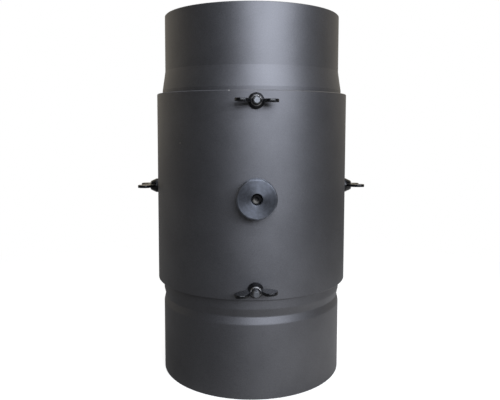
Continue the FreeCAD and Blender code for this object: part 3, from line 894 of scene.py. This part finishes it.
@dataclass(frozen=True)
class CeramicFibre(Finish):
    """Pressed ceramic fibre of the mat and gasket: off-white, matt and felted."""

    name: str = "pressed_ceramic_fibre"
    colour: str = "#dedbd2"
    grey: str = "#cbc8bf"
    roughness: float = 0.95
    cast_size: float = 6.0
    cast_levels: tuple[float, float] = (0.3, 0.7)
    fibre_width: float = 0.5
    fibre_depth: float = 0.12
    fibre_stretch: tuple[float, float, float] = (0.3, 0.3, 1.0)

    def pattern(self, tree: Tree) -> dict[str, Any]:
        """Felted fibres and a grey cast.

        Args:
            tree: the material's tree.

        Returns:
            What goes to each of the shader's inputs.
        """
        cast = grain(tree, self.cast_size, levels=self.cast_levels)
        felt = grain(tree, self.fibre_width, 4.0, self.fibre_stretch)
        return {
            "Base Color": coats(tree, self.colour, (cast, self.grey)),
            "Normal": relief(tree, (felt, self.fibre_depth)),
        }


@dataclass(frozen=True)
class StudioPaper(Finish):
    """Matt white background paper: plain white to the camera, and it keeps a soft shadow.

    To the object the paper glows with painted light in place of its lighting: pale near
    its foot, paler on the lit side and behind on the left, and dim beyond. Here lengths are in
    metres.
    """

    name: str = "studio_paper"
    colour: str = "#cfcfcf"
    roughness: float = 0.9
    specular: float = 0.0
    shadow_share: float = 0.24
    far: float = 0.55
    near: float = 0.16
    mirrored_far: float = 0.08
    mirrored_left: float = 0.1
    mirrored_right: float = 0.6
    mirrored_back: float = 0.11
    left_to_right: tuple[float, float] = (-0.12, 0.18)
    middle_to_back: tuple[float, float] = (-0.05, 0.1)
    middle_to_left: tuple[float, float] = (0.0, -0.08)

    def mirrored(self, tree: Tree, place: Socket, close: Node) -> Node:
        """How bright the object sees the paper's painted glow.

        Args:
            tree: the material's tree.
            place: position on the paper.
            close: node that gives 1 near the object and 0 far from it.

        Returns:
            The node that gives the brightness.
        """
        parts = add_node(tree, "ShaderNodeSeparateXYZ", {0: place}).outputs
        ends = (*self.left_to_right, self.mirrored_left, self.mirrored_right)
        lit = add_node(tree, "ShaderNodeMapRange", dict(enumerate([parts["X"], *ends])), **SMOOTH)
        rise = add_node(tree, "ShaderNodeMath", {0: lit, 1: self.mirrored_far},
                        operation="SUBTRACT")
        level = add_node(tree, "ShaderNodeMath", {0: close, 1: rise, 2: self.mirrored_far},
                         operation="MULTIPLY_ADD")
        corner = region(tree, (parts["Y"], *self.middle_to_back), (parts["X"], *self.middle_to_left))
        return add_node(tree, "ShaderNodeMath", {0: corner, 1: self.mirrored_back, 2: level},
                        operation="MULTIPLY_ADD")

    def pattern(self, tree: Tree) -> dict[str, Any]:
        """White glow for the camera, less near the object, where the paper shows its shadow.

        Args:
            tree: the material's tree.

        Returns:
            What goes to each of the shader's inputs.
        """
        seen = seen_directly(tree)
        place = add_node(tree, "ShaderNodeTexCoord").outputs["Object"]
        away = add_node(tree, "ShaderNodeVectorMath", {0: place}, operation="LENGTH")
        close = region(tree, (away, self.far, self.near))
        shade = add_node(tree, "ShaderNodeMath", {0: close, 1: self.shadow_share},
                         operation="MULTIPLY")
        glow = add_node(tree, "ShaderNodeMath", {0: 1.0, 1: shade}, operation="SUBTRACT")
        shadowed = add_node(tree, "ShaderNodeMath", {0: seen, 1: close}, operation="MULTIPLY")
        return {
            "Base Color": coats(tree, "#000000", (shadowed, self.colour)),
            "Emission Color": linear("#ffffff"),
            # The object's mirrors see a painted glow, and the camera sees white
            "Emission Strength": add_node(
                tree, "ShaderNodeMix",
                {0: seen, 2: self.mirrored(tree, place, close), 3: glow}, data_type="FLOAT"),
        }


PAINT = HeatPaint()
ENAMEL = BlackEnamel()
WASHER_ENAMEL = PlainEnamel()
ZINC = BrightZinc()
STEEL = TurnedSteel()
KNOB = KnobSteel()
SCREW = OxideScrew()
SPRING = BluedSpring()
STAINLESS = StainlessSheet()
CERAMIC = Cordierite()
FIBRE = CeramicFibre()


def dress(node: str, finish: Finish) -> None:
    """Give a carried-over node its finish.

    Args:
        node: the node's name.
        finish: the finish that it gets.
    """
    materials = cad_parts[node].data.materials
    materials.clear()
    materials.append(finish.material())
    LOG.info("dressed %s in %s", node, finish.name)


def new_tree(name: str, sizes: Mapping[str, float | int]) -> tuple[Tree, Mapping[str, Socket]]:
    """Empty Geometry Nodes tree with named inputs.

    Args:
        name: the tree's name.
        sizes: default of each input, whole numbers for counts.

    Returns:
        The tree, and its inputs' sockets by name.
    """
    tree = bpy.data.node_groups.new(name, "GeometryNodeTree")
    for label, value in sizes.items():
        kind = "NodeSocketInt" if isinstance(value, int) else "NodeSocketFloat"
        socket = tree.interface.new_socket(label, in_out="INPUT", socket_type=kind)
        socket.default_value = value
    tree.interface.new_socket("Geometry", in_out="OUTPUT", socket_type="NodeSocketGeometry")
    return tree, add_node(tree, "NodeGroupInput").outputs


def close_tree(tree: Tree, geometry: Node, finish: Finish) -> None:
    """End a tree in Realize Instances and Set Material.

    Args:
        tree: the tree to end.
        geometry: the last node of what it makes.
        finish: the finish of its mesh.
    """
    whole = add_node(tree, "GeometryNodeRealizeInstances", {0: geometry})
    dressed = add_node(tree, "GeometryNodeSetMaterial",
                       {"Geometry": whole, "Material": finish.material()})
    add_node(tree, "NodeGroupOutput", {0: dressed})


def settle(piece: bpy.types.Object) -> Mesh:
    """Mesh of an object with its modifiers applied. The object is removed.

    Args:
        piece: the object, not yet linked to the scene.

    Returns:
        A new plain mesh.
    """
    bpy.context.scene.collection.objects.link(piece)
    graph = bpy.context.evaluated_depsgraph_get()
    mesh = bpy.data.meshes.new_from_object(piece.evaluated_get(graph), depsgraph=graph)
    bpy.data.objects.remove(piece)
    return mesh


def grow(tree: Tree, sizes: Mapping[str, float | int]) -> Mesh:
    """Run a Geometry Nodes tree and keep its result as a plain mesh.

    Args:
        tree: the tree to run.
        sizes: value of each named input.

    Returns:
        The mesh.
    """
    holder = bpy.data.objects.new(tree.name, bpy.data.meshes.new(tree.name))
    modifier = holder.modifiers.new("grow", "NODES")
    modifier.node_group = tree
    for item in tree.interface.items_tree:
        if item.in_out == "INPUT":
            modifier[item.identifier] = sizes[item.name]
    return settle(holder)


def shade_edges(mesh: Mesh) -> None:
    """Shade a mesh smooth between its sharp edges.

    Args:
        mesh: the mesh.
    """
    mesh.shade_smooth()
    mesh.set_sharp_from_angle(angle=SHARP_ANGLE)


def lathe(name: str, profile: Sequence[tuple[float, float]], segments: int,
          edge_break: float) -> Mesh:
    """Solid turned from a closed profile round its own Z axis.

    Args:
        name: name of the mesh.
        profile: corners (radius, height) in mm, in order. Radius 0 lies on the axis.
        segments: steps round the axis.
        edge_break: width in mm of the small bevel on sharp edges.

    Returns:
        The mesh, smooth shaded between sharp edges.
    """
    work = bmesh.new()
    turns = [2 * math.pi * step / segments for step in range(segments)]
    rings = []
    for radius, height in profile:
        if radius == 0.0:
            rings.append([work.verts.new((0.0, 0.0, height * MM))] * segments)
            continue
        rings.append([
            work.verts.new((radius * MM * math.cos(turn), radius * MM * math.sin(turn), height * MM))
            for turn in turns
        ])
    for first, second in zip(rings, rings[1:] + rings[:1]):
        for step in range(segments):
            following = (step + 1) % segments
            corners = [first[step], first[following], second[following], second[step]]
            # A ring on the axis is a single point, so a face beside it has three corners
            kept = [corner for place, corner in enumerate(corners) if corner not in corners[:place]]
            if len(kept) > 2:
                work.faces.new(kept)
    bmesh.ops.recalc_face_normals(work, faces=work.faces)
    mesh = bpy.data.meshes.new(name)
    work.to_mesh(mesh)
    work.free()
    holder = bpy.data.objects.new(name, mesh)
    bevel = holder.modifiers.new("edge_break", "BEVEL")
    bevel.width = edge_break * MM
    bevel.segments = 2
    bevel.limit_method = "ANGLE"
    bevel.angle_limit = BROKEN_ANGLE
    mesh = settle(holder)
    shade_edges(mesh)
    return mesh


def joined(name: str, meshes: Sequence[Mesh]) -> Mesh:
    """Several meshes as one.

    Args:
        name: name of the new mesh.
        meshes: the meshes to join, all with the same single material.

    Returns:
        The joined mesh.
    """
    work = bmesh.new()
    for mesh in meshes:
        work.from_mesh(mesh)
    whole = bpy.data.meshes.new(name)
    work.to_mesh(whole)
    work.free()
    return whole


def add_piece(name: str, mesh: Mesh, finish: Finish, body: str,
              nodes: Sequence[str]) -> None:
    """Put a new piece in the scene in place of CAD nodes.

    Args:
        name: the piece's name.
        mesh: its mesh, already in place.
        finish: its finish.
        body: the body that it rides on.
        nodes: the nodes that it stands for.
    """
    mesh.name = name
    mesh.materials.clear()
    mesh.materials.append(finish.material())
    piece = bpy.data.objects.new(name, mesh)
    bpy.context.scene.collection.objects.link(piece)
    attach(piece, body)
    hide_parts(*nodes)
    LOG.info("made %s with %d faces for %s", name, len(mesh.polygons), ", ".join(nodes))


@dataclass
class FluePipe:
    """The painted tube with the closed bearing at its back."""

    nodes: tuple[str, ...] = ("pipe_body", "rear_bush")

    def build(self) -> None:
        """Paint the tube and its rear bearing."""
        for node in self.nodes:
            dress(node, PAINT)


@dataclass
class CleaningCover:
    """The painted cover sheet on its fibre gasket."""

    sheet: str = "cover"
    gasket: str = "cover_gasket"

    def build(self) -> None:
        """Paint the sheet and dress the gasket."""
        dress(self.sheet, PAINT)
        dress(self.gasket, FIBRE)


@dataclass
class WingFastening:
    """One weld stud with its washer and wing nut. Lengths are in mm."""

    place: Fastening
    # The thread's crests stay just inside the solid stud, which is 6 mm thick
    crest: float = 2.98
    root: float = 2.42
    pitch: float = 1.0
    plain_length: float = 2.0
    runout: float = 0.4
    core_rise: float = 0.15
    tip_chamfer: float = 0.9
    tip_inset: float = 0.3
    edge_break: float = 0.12
    core_steps: int = 48
    thread_steps: int = 28
    # The nut's casting: the grid on which it is remeshed, and how much that is smoothed
    voxel: float = 0.3
    smoothing: int = 6
    smoothing_share: float = 0.5

    @property
    def word(self) -> str:
        """The fastening's word in the names of its nodes."""
        return self.place.value[0]

    @property
    def ends(self) -> tuple[float, float]:
        """Distances of the stud's foot and tip from the pipe's axis."""
        axis = self.place.value[1].axis
        foot, tip = sorted(abs(corner[axis]) for corner in box_mm("stud_" + self.word))
        return foot, tip

    @property
    def matrix(self) -> Matrix:
        """Placement of a piece built along +Z from the pipe's axis."""
        return self.place.value[1].matrix(middle_height("stud_" + self.word))

    @property
    def thread_start(self) -> float:
        """Distance of the thread's start from the pipe's axis."""
        return self.ends[0] + self.plain_length

    @property
    def thread_sizes(self) -> dict[str, float | int]:
        """Named inputs of the thread's tree."""
        return {
            "Turns": (self.ends[1] - self.tip_chamfer - self.thread_start) / self.pitch,
            "Pitch": self.pitch * MM,
            "Root Radius": self.root * MM,
            "Depth": (self.crest - self.root) * MM,
            "Steps": self.thread_steps,
        }

    def thread_tree(self) -> Tree:
        """Geometry Nodes tree that sweeps a ridge along a helix.

        Returns:
            The tree.
        """
        tree, given = new_tree("rolled_thread", self.thread_sizes)
        length = add_node(tree, "ShaderNodeMath", {0: given["Turns"], 1: given["Pitch"]},
                          operation="MULTIPLY")
        helix = add_node(tree, "GeometryNodeCurveSpiral", {
            "Resolution": given["Steps"],
            "Rotations": given["Turns"],
            "Start Radius": given["Root Radius"],
            "End Radius": given["Root Radius"],
            "Height": length,
        })
        upright = add_node(tree, "GeometryNodeSetCurveNormal", {"Curve": helix}, mode="Z_UP")
        # Four corners give the ridge its pointed section
        ridge = add_node(tree, "GeometryNodeCurvePrimitiveCircle",
                         {"Resolution": 4, "Radius": given["Depth"]})
        swept = add_node(tree, "GeometryNodeCurveToMesh",
                         {"Curve": upright, "Profile Curve": ridge, "Fill Caps": True})
        close_tree(tree, swept, ZINC)
        return tree

    def thread(self) -> Mesh:
        """Helical ridge of the rolled thread.

        Returns:
            The ridge, up to the chamfer at the stud's end.
        """
        tree = bpy.data.node_groups.get("rolled_thread") or self.thread_tree()
        mesh = grow(tree, self.thread_sizes)
        mesh.transform(Matrix.Translation((0.0, 0.0, self.thread_start * MM)))
        return mesh

    def build_stud(self) -> None:
        """Make the threaded stud."""
        foot, tip = self.ends
        core = lathe("stud_core", [
            (0.0, foot),
            (self.crest, foot),
            (self.crest, self.thread_start - self.runout),
            (self.root, self.thread_start),
            (self.root + self.core_rise, tip - self.tip_chamfer),
            (self.root - self.tip_inset, tip),
            (0.0, tip),
        ], self.core_steps, self.edge_break)
        mesh = joined("stud", [core, self.thread()])
        mesh.transform(self.matrix)
        add_piece("threaded_stud_" + self.word, mesh, ZINC, "housing",
                  ["stud_" + self.word])

    def build_nut(self) -> None:
        """Make the cast nut: the CAD form with its edges and joins cast soft."""
        node = "wing_nut_" + self.word
        holder = bpy.data.objects.new(node + "_casting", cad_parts[node].data.copy())
        remesh = holder.modifiers.new("cast", "REMESH")
        remesh.mode = "VOXEL"
        remesh.voxel_size = self.voxel * MM
        smooth = holder.modifiers.new("soft_edges", "SMOOTH")
        smooth.iterations = self.smoothing
        smooth.factor = self.smoothing_share
        mesh = settle(holder)
        mesh.shade_smooth()
        # The enamel's worn ring, also a painted highlight, follows the distance from the stud's own
        # axis
        back = self.matrix.inverted()
        distances = [(back @ corner.co).xy.length / MM for corner in mesh.vertices]
        reach = mesh.attributes.new("axis_distance", "FLOAT", "POINT")
        reach.data.foreach_set("value", distances)
        add_piece("cast_wing_nut_" + self.word, mesh, ENAMEL, self.word + "_wing_nut",
                  [node])

    def build(self) -> None:
        """Make the stud and nut, and dress the washer."""
        self.build_stud()
        self.build_nut()
        dress("washer_" + self.word, WASHER_ENAMEL)


@dataclass
class TurningGear:
    """Knob, screw, springs, shaft and the bearing in the cover. Lengths are in mm."""

    thickness: float = 7.5
    front_chamfer: float = 1.0
    rear_chamfer: float = 0.5
    neck_radius: float = 6.0
    recess_radius: float = 4.2
    recess_depth: float = 5.8
    recess_chamfer: float = 0.25
    screw_hole: float = 2.3
    edge_break: float = 0.14
    steps: int = 144
    springs: tuple[str, ...] = ("disc_spring_1", "disc_spring_2")
    turned: tuple[str, ...] = ("shaft_bush", "knob_shaft", "thrust_washer")

    def build_knob(self) -> None:
        """Make the turned knob with its sharp edges broken."""
        low, high = box_mm("turning_knob")
        radius, face, neck_end = high[0], -low[1], -high[1]
        back = face - self.thickness
        mesh = lathe("knob", [
            (self.screw_hole, neck_end),
            (self.neck_radius, neck_end),
            (self.neck_radius, back),
            (radius - self.rear_chamfer, back),
            (radius, back + self.rear_chamfer),
            (radius, face - self.front_chamfer),
            (radius - self.front_chamfer, face),
            (self.recess_radius + self.recess_chamfer, face),
            (self.recess_radius, face - self.recess_chamfer),
            (self.recess_radius, face - self.recess_depth),
            (self.screw_hole, face - self.recess_depth),
        ], self.steps, self.edge_break)
        mesh.transform(Facing.FRONT.matrix(AXIS_HEIGHT))
        add_piece("turned_knob", mesh, KNOB, "filter", ["turning_knob"])

    def build(self) -> None:
        """Make the knob and dress the pieces behind it."""
        self.build_knob()
        dress("knob_screw", SCREW)
        for node in self.springs:
            dress(node, SPRING)
        for node in self.turned:
            dress(node, STEEL)


@dataclass
class FilterCartridge:
    """Ceramic honeycomb in its mat and stainless band. Lengths are in mm."""

    block: str = "filter_honeycomb"
    mat: str = "support_mat"
    sheet_metal: tuple[str, ...] = (
        "filter_band", "retaining_ring", "drive_socket", "rear_pivot_pin",
    )
    pitch: float = 8.0
    web: float = 1.2
    skin: float = 1.6
    cells: int = 17
    rim_steps: int = 180
    merge_distance: float = 0.001

    @property
    def block_sizes(self) -> dict[str, float | int]:
        """Named inputs of the honeycomb's tree."""
        low, high = box_mm(self.block)
        return {
            "Cells": self.cells,
            "Pitch": self.pitch * MM,
            "Web": self.web * MM,
            "Radius": high[0] * MM,
            "Skin": self.skin * MM,
            "Height": (high[2] - low[2]) * MM,
            "Rim Steps": self.rim_steps,
            "Merge Distance": self.merge_distance * MM,
        }

    def block_tree(self) -> Tree:
        """Geometry Nodes tree of a round block with the square channels that fit in its skin.

        Returns:
            The tree.
        """
        tree, given = new_tree("extruded_honeycomb", self.block_sizes)
        gaps = add_node(tree, "ShaderNodeMath", {0: given["Cells"], 1: 1.0}, operation="SUBTRACT")
        span = add_node(tree, "ShaderNodeMath", {0: gaps, 1: given["Pitch"]}, operation="MULTIPLY")
        centres = add_node(tree, "GeometryNodeMeshGrid", {
            "Size X": span, "Size Y": span,
            "Vertices X": given["Cells"], "Vertices Y": given["Cells"],
        })
        wide = add_node(tree, "ShaderNodeMath", {0: given["Pitch"], 1: given["Web"]},
                        operation="SUBTRACT")
        half = add_node(tree, "ShaderNodeMath", {0: wide, 1: 0.5}, operation="MULTIPLY")
        # A channel's far corner has to lie inside the skin
        place = add_node(tree, "GeometryNodeInputPosition")
        parts = add_node(tree, "ShaderNodeSeparateXYZ", {0: place}).outputs
        square: Node | float = 0.0
        for axis in ("X", "Y"):
            off = add_node(tree, "ShaderNodeMath", {0: parts[axis]}, operation="ABSOLUTE")
            far = add_node(tree, "ShaderNodeMath", {0: off, 1: half}, operation="ADD")
            square = add_node(tree, "ShaderNodeMath", {0: far, 1: far, 2: square},
                              operation="MULTIPLY_ADD")
        reach = add_node(tree, "ShaderNodeMath", {0: square}, operation="SQRT")
        limit = add_node(tree, "ShaderNodeMath", {0: given["Radius"], 1: given["Skin"]},
                         operation="SUBTRACT")
        fits = add_node(tree, "ShaderNodeMath", {0: reach, 1: limit}, operation="LESS_THAN")
        channel = add_node(tree, "GeometryNodeCurvePrimitiveQuadrilateral",
                           {"Width": wide, "Height": wide})
        channels = add_node(tree, "GeometryNodeInstanceOnPoints",
                            {"Points": centres, "Selection": fits, "Instance": channel})
        squares = add_node(tree, "GeometryNodeRealizeInstances", {0: channels})
        rim = add_node(tree, "GeometryNodeCurvePrimitiveCircle",
                       {"Resolution": given["Rim Steps"], "Radius": given["Radius"]})
        outline = add_node(tree, "GeometryNodeJoinGeometry", {0: [squares, rim]})
        face = add_node(tree, "GeometryNodeFillCurve", {"Curve": outline})
        raised = add_node(tree, "GeometryNodeExtrudeMesh", {
            "Mesh": face, "Offset": (0.0, 0.0, 1.0), "Offset Scale": given["Height"],
            "Individual": False,
        })
        under = add_node(tree, "GeometryNodeFlipFaces", {"Mesh": face})
        both = add_node(tree, "GeometryNodeJoinGeometry", {0: [raised, under]})
        closed = add_node(tree, "GeometryNodeMergeByDistance",
                          {"Geometry": both, "Distance": given["Merge Distance"]})
        close_tree(tree, closed, CERAMIC)
        return tree

    def build_block(self) -> None:
        """Make the honeycomb block, channel for channel as in the solid."""
        foot = box_mm(self.block)[0][2]
        mesh = grow(self.block_tree(), self.block_sizes)
        mesh.transform(Matrix.Translation((0.0, 0.0, foot * MM)))
        shade_edges(mesh)
        add_piece("fired_honeycomb", mesh, CERAMIC, "filter", [self.block])

    def build(self) -> None:
        """Make the block and dress the band, mat and fittings."""
        self.build_block()
        dress(self.mat, FIBRE)
        for node in self.sheet_metal:
            dress(node, STAINLESS)


@dataclass(frozen=True)
class Softbox:
    """A soft light that faces the object's middle.

    The azimuth is in degrees to the right of the front, seen from the camera, and the
    elevation in degrees above the level. Lengths are in metres and the power is in watts.
    """

    name: str
    azimuth: float
    elevation: float
    distance: float
    size: tuple[float, float]
    power: float
    colour: str = "#edf3ff"

    def build(self) -> None:
        """Place the light."""
        turn, rise = math.radians(self.azimuth), math.radians(self.elevation)
        level = math.cos(rise)
        away = Vector((math.sin(turn) * level, -math.cos(turn) * level, math.sin(rise)))
        light = bpy.data.lights.new(self.name, "AREA")
        light.shape = "RECTANGLE"
        light.size, light.size_y = self.size
        light.energy = self.power
        light.color = linear(self.colour)[:3]
        lamp = bpy.data.objects.new(self.name, light)
        lamp.location = Vector((0.0, 0.0, AXIS_HEIGHT * MM)) + away * self.distance
        lamp.rotation_euler = away.to_track_quat("Z", "Y").to_euler()
        lamp.visible_camera = False
        bpy.context.scene.collection.objects.link(lamp)


@dataclass
class Studio:
    """The photograph's camera, white paper, three soft lights and a dim room to mirror.

    The camera's place is in metres and its angles are in radians.
    """

    camera_place: tuple[float, float, float] = (-0.0202, -0.4958, 0.2122)
    camera_turn: float = -0.0407
    camera_pitch: float = 0.0783
    camera_roll: float = 0.0024
    focal_pixels: float = 562.18
    centre: tuple[float, float] = (251.44, 168.74)
    frame_size: tuple[int, int] = (500, 400)
    sensor: float = 36.0
    clip_start: float = 0.01
    # The broad key light
    key: Softbox = Softbox("key_softbox", 20.6, 17.8, 1.3, (1.18, 0.34), 12.6)
    # A small lamp higher up lights the swage and throws the shadows under knob and nuts
    upper: Softbox = Softbox("upper_softbox", 9.0, 39.0, 1.2, (0.5, 0.2), 2.7)
    # A weak panel overhead gives the thin glints on upper edges
    ceiling: Softbox = Softbox("ceiling_softbox", 0.0, 84.0, 1.1, (1.0, 0.8), 4.5)
    # The room that the object mirrors, dim ahead and pale behind, by the ray's Y
    room_colour: str = "#fff4de"
    ahead: float = 0.018
    behind: float = 0.66
    ahead_to_behind: tuple[float, float] = (-0.25, 0.9)
    paper_half_width: float = 4.0
    paper_cells: int = 8

    def build_camera(self) -> None:
        """Set the photograph's view."""
        width, height = self.frame_size
        lens = bpy.data.cameras.new("photo_camera")
        lens.sensor_fit = "HORIZONTAL"
        lens.sensor_width = self.sensor
        lens.lens = self.focal_pixels / width * self.sensor
        lens.shift_x = (width / 2 - self.centre[0]) / width
        lens.shift_y = (self.centre[1] - height / 2) / width
        lens.clip_start = self.clip_start
        camera = bpy.data.objects.new("photo_camera", lens)
        camera.matrix_world = (
            Matrix.Translation(self.camera_place)
            @ Matrix.Rotation(self.camera_turn, 4, "Z")
            @ Matrix.Rotation(QUARTER_TURN - self.camera_pitch, 4, "X")
            @ Matrix.Rotation(self.camera_roll, 4, "Z")
        )
        bpy.context.scene.collection.objects.link(camera)
        bpy.context.scene.camera = camera

    def build_world(self) -> None:
        """Make the world: white to the camera, and a faintly warm room to the object."""
        world = bpy.data.worlds.new("white_studio")
        bpy.context.scene.world = world
        world.use_nodes = True
        tree = world.node_tree
        toward = add_node(tree, "ShaderNodeTexCoord").outputs["Generated"]
        parts = add_node(tree, "ShaderNodeSeparateXYZ", {0: toward}).outputs
        ends = (*self.ahead_to_behind, self.ahead, self.behind)
        room = add_node(tree, "ShaderNodeMapRange", dict(enumerate([parts["Y"], *ends])), **SMOOTH)
        seen = seen_directly(tree)
        feed(tree.nodes["Background"], {
            "Color": coats(tree, self.room_colour, (seen, "#ffffff")),
            "Strength": add_node(tree, "ShaderNodeMix", {0: seen, 2: room, 3: 1.0},
                                 data_type="FLOAT"),
        })

    def build_floor(self) -> None:
        """Lay the white paper under the object."""
        work = bmesh.new()
        bmesh.ops.create_grid(work, x_segments=self.paper_cells, y_segments=self.paper_cells,
                              size=self.paper_half_width)
        mesh = bpy.data.meshes.new("paper_floor")
        work.to_mesh(mesh)
        work.free()
        paper = StudioPaper().material()
        # The paper is mirrored but isn't a lamp, so the softboxes alone throw the shadows
        paper.cycles.emission_sampling = "NONE"
        mesh.materials.append(paper)
        floor = bpy.data.objects.new("paper_floor", mesh)
        bpy.context.scene.collection.objects.link(floor)

    def build(self) -> None:
        """Set up view, light and paper."""
        bpy.context.scene.view_settings.view_transform = "Standard"
        self.build_camera()
        for softbox in (self.key, self.upper, self.ceiling):
            softbox.build()
        self.build_world()
        self.build_floor()
        LOG.info("studio is set")


def main() -> None:
    """Build the studio and every sub-assembly."""
    logging.basicConfig(level=logging.INFO, format="%(name)s: %(message)s")
    Studio().build()
    FluePipe().build()
    CleaningCover().build()
    for place in Fastening:
        WingFastening(place).build()
    TurningGear().build()
    FilterCartridge().build()


if __name__ == "__main__":
    main()
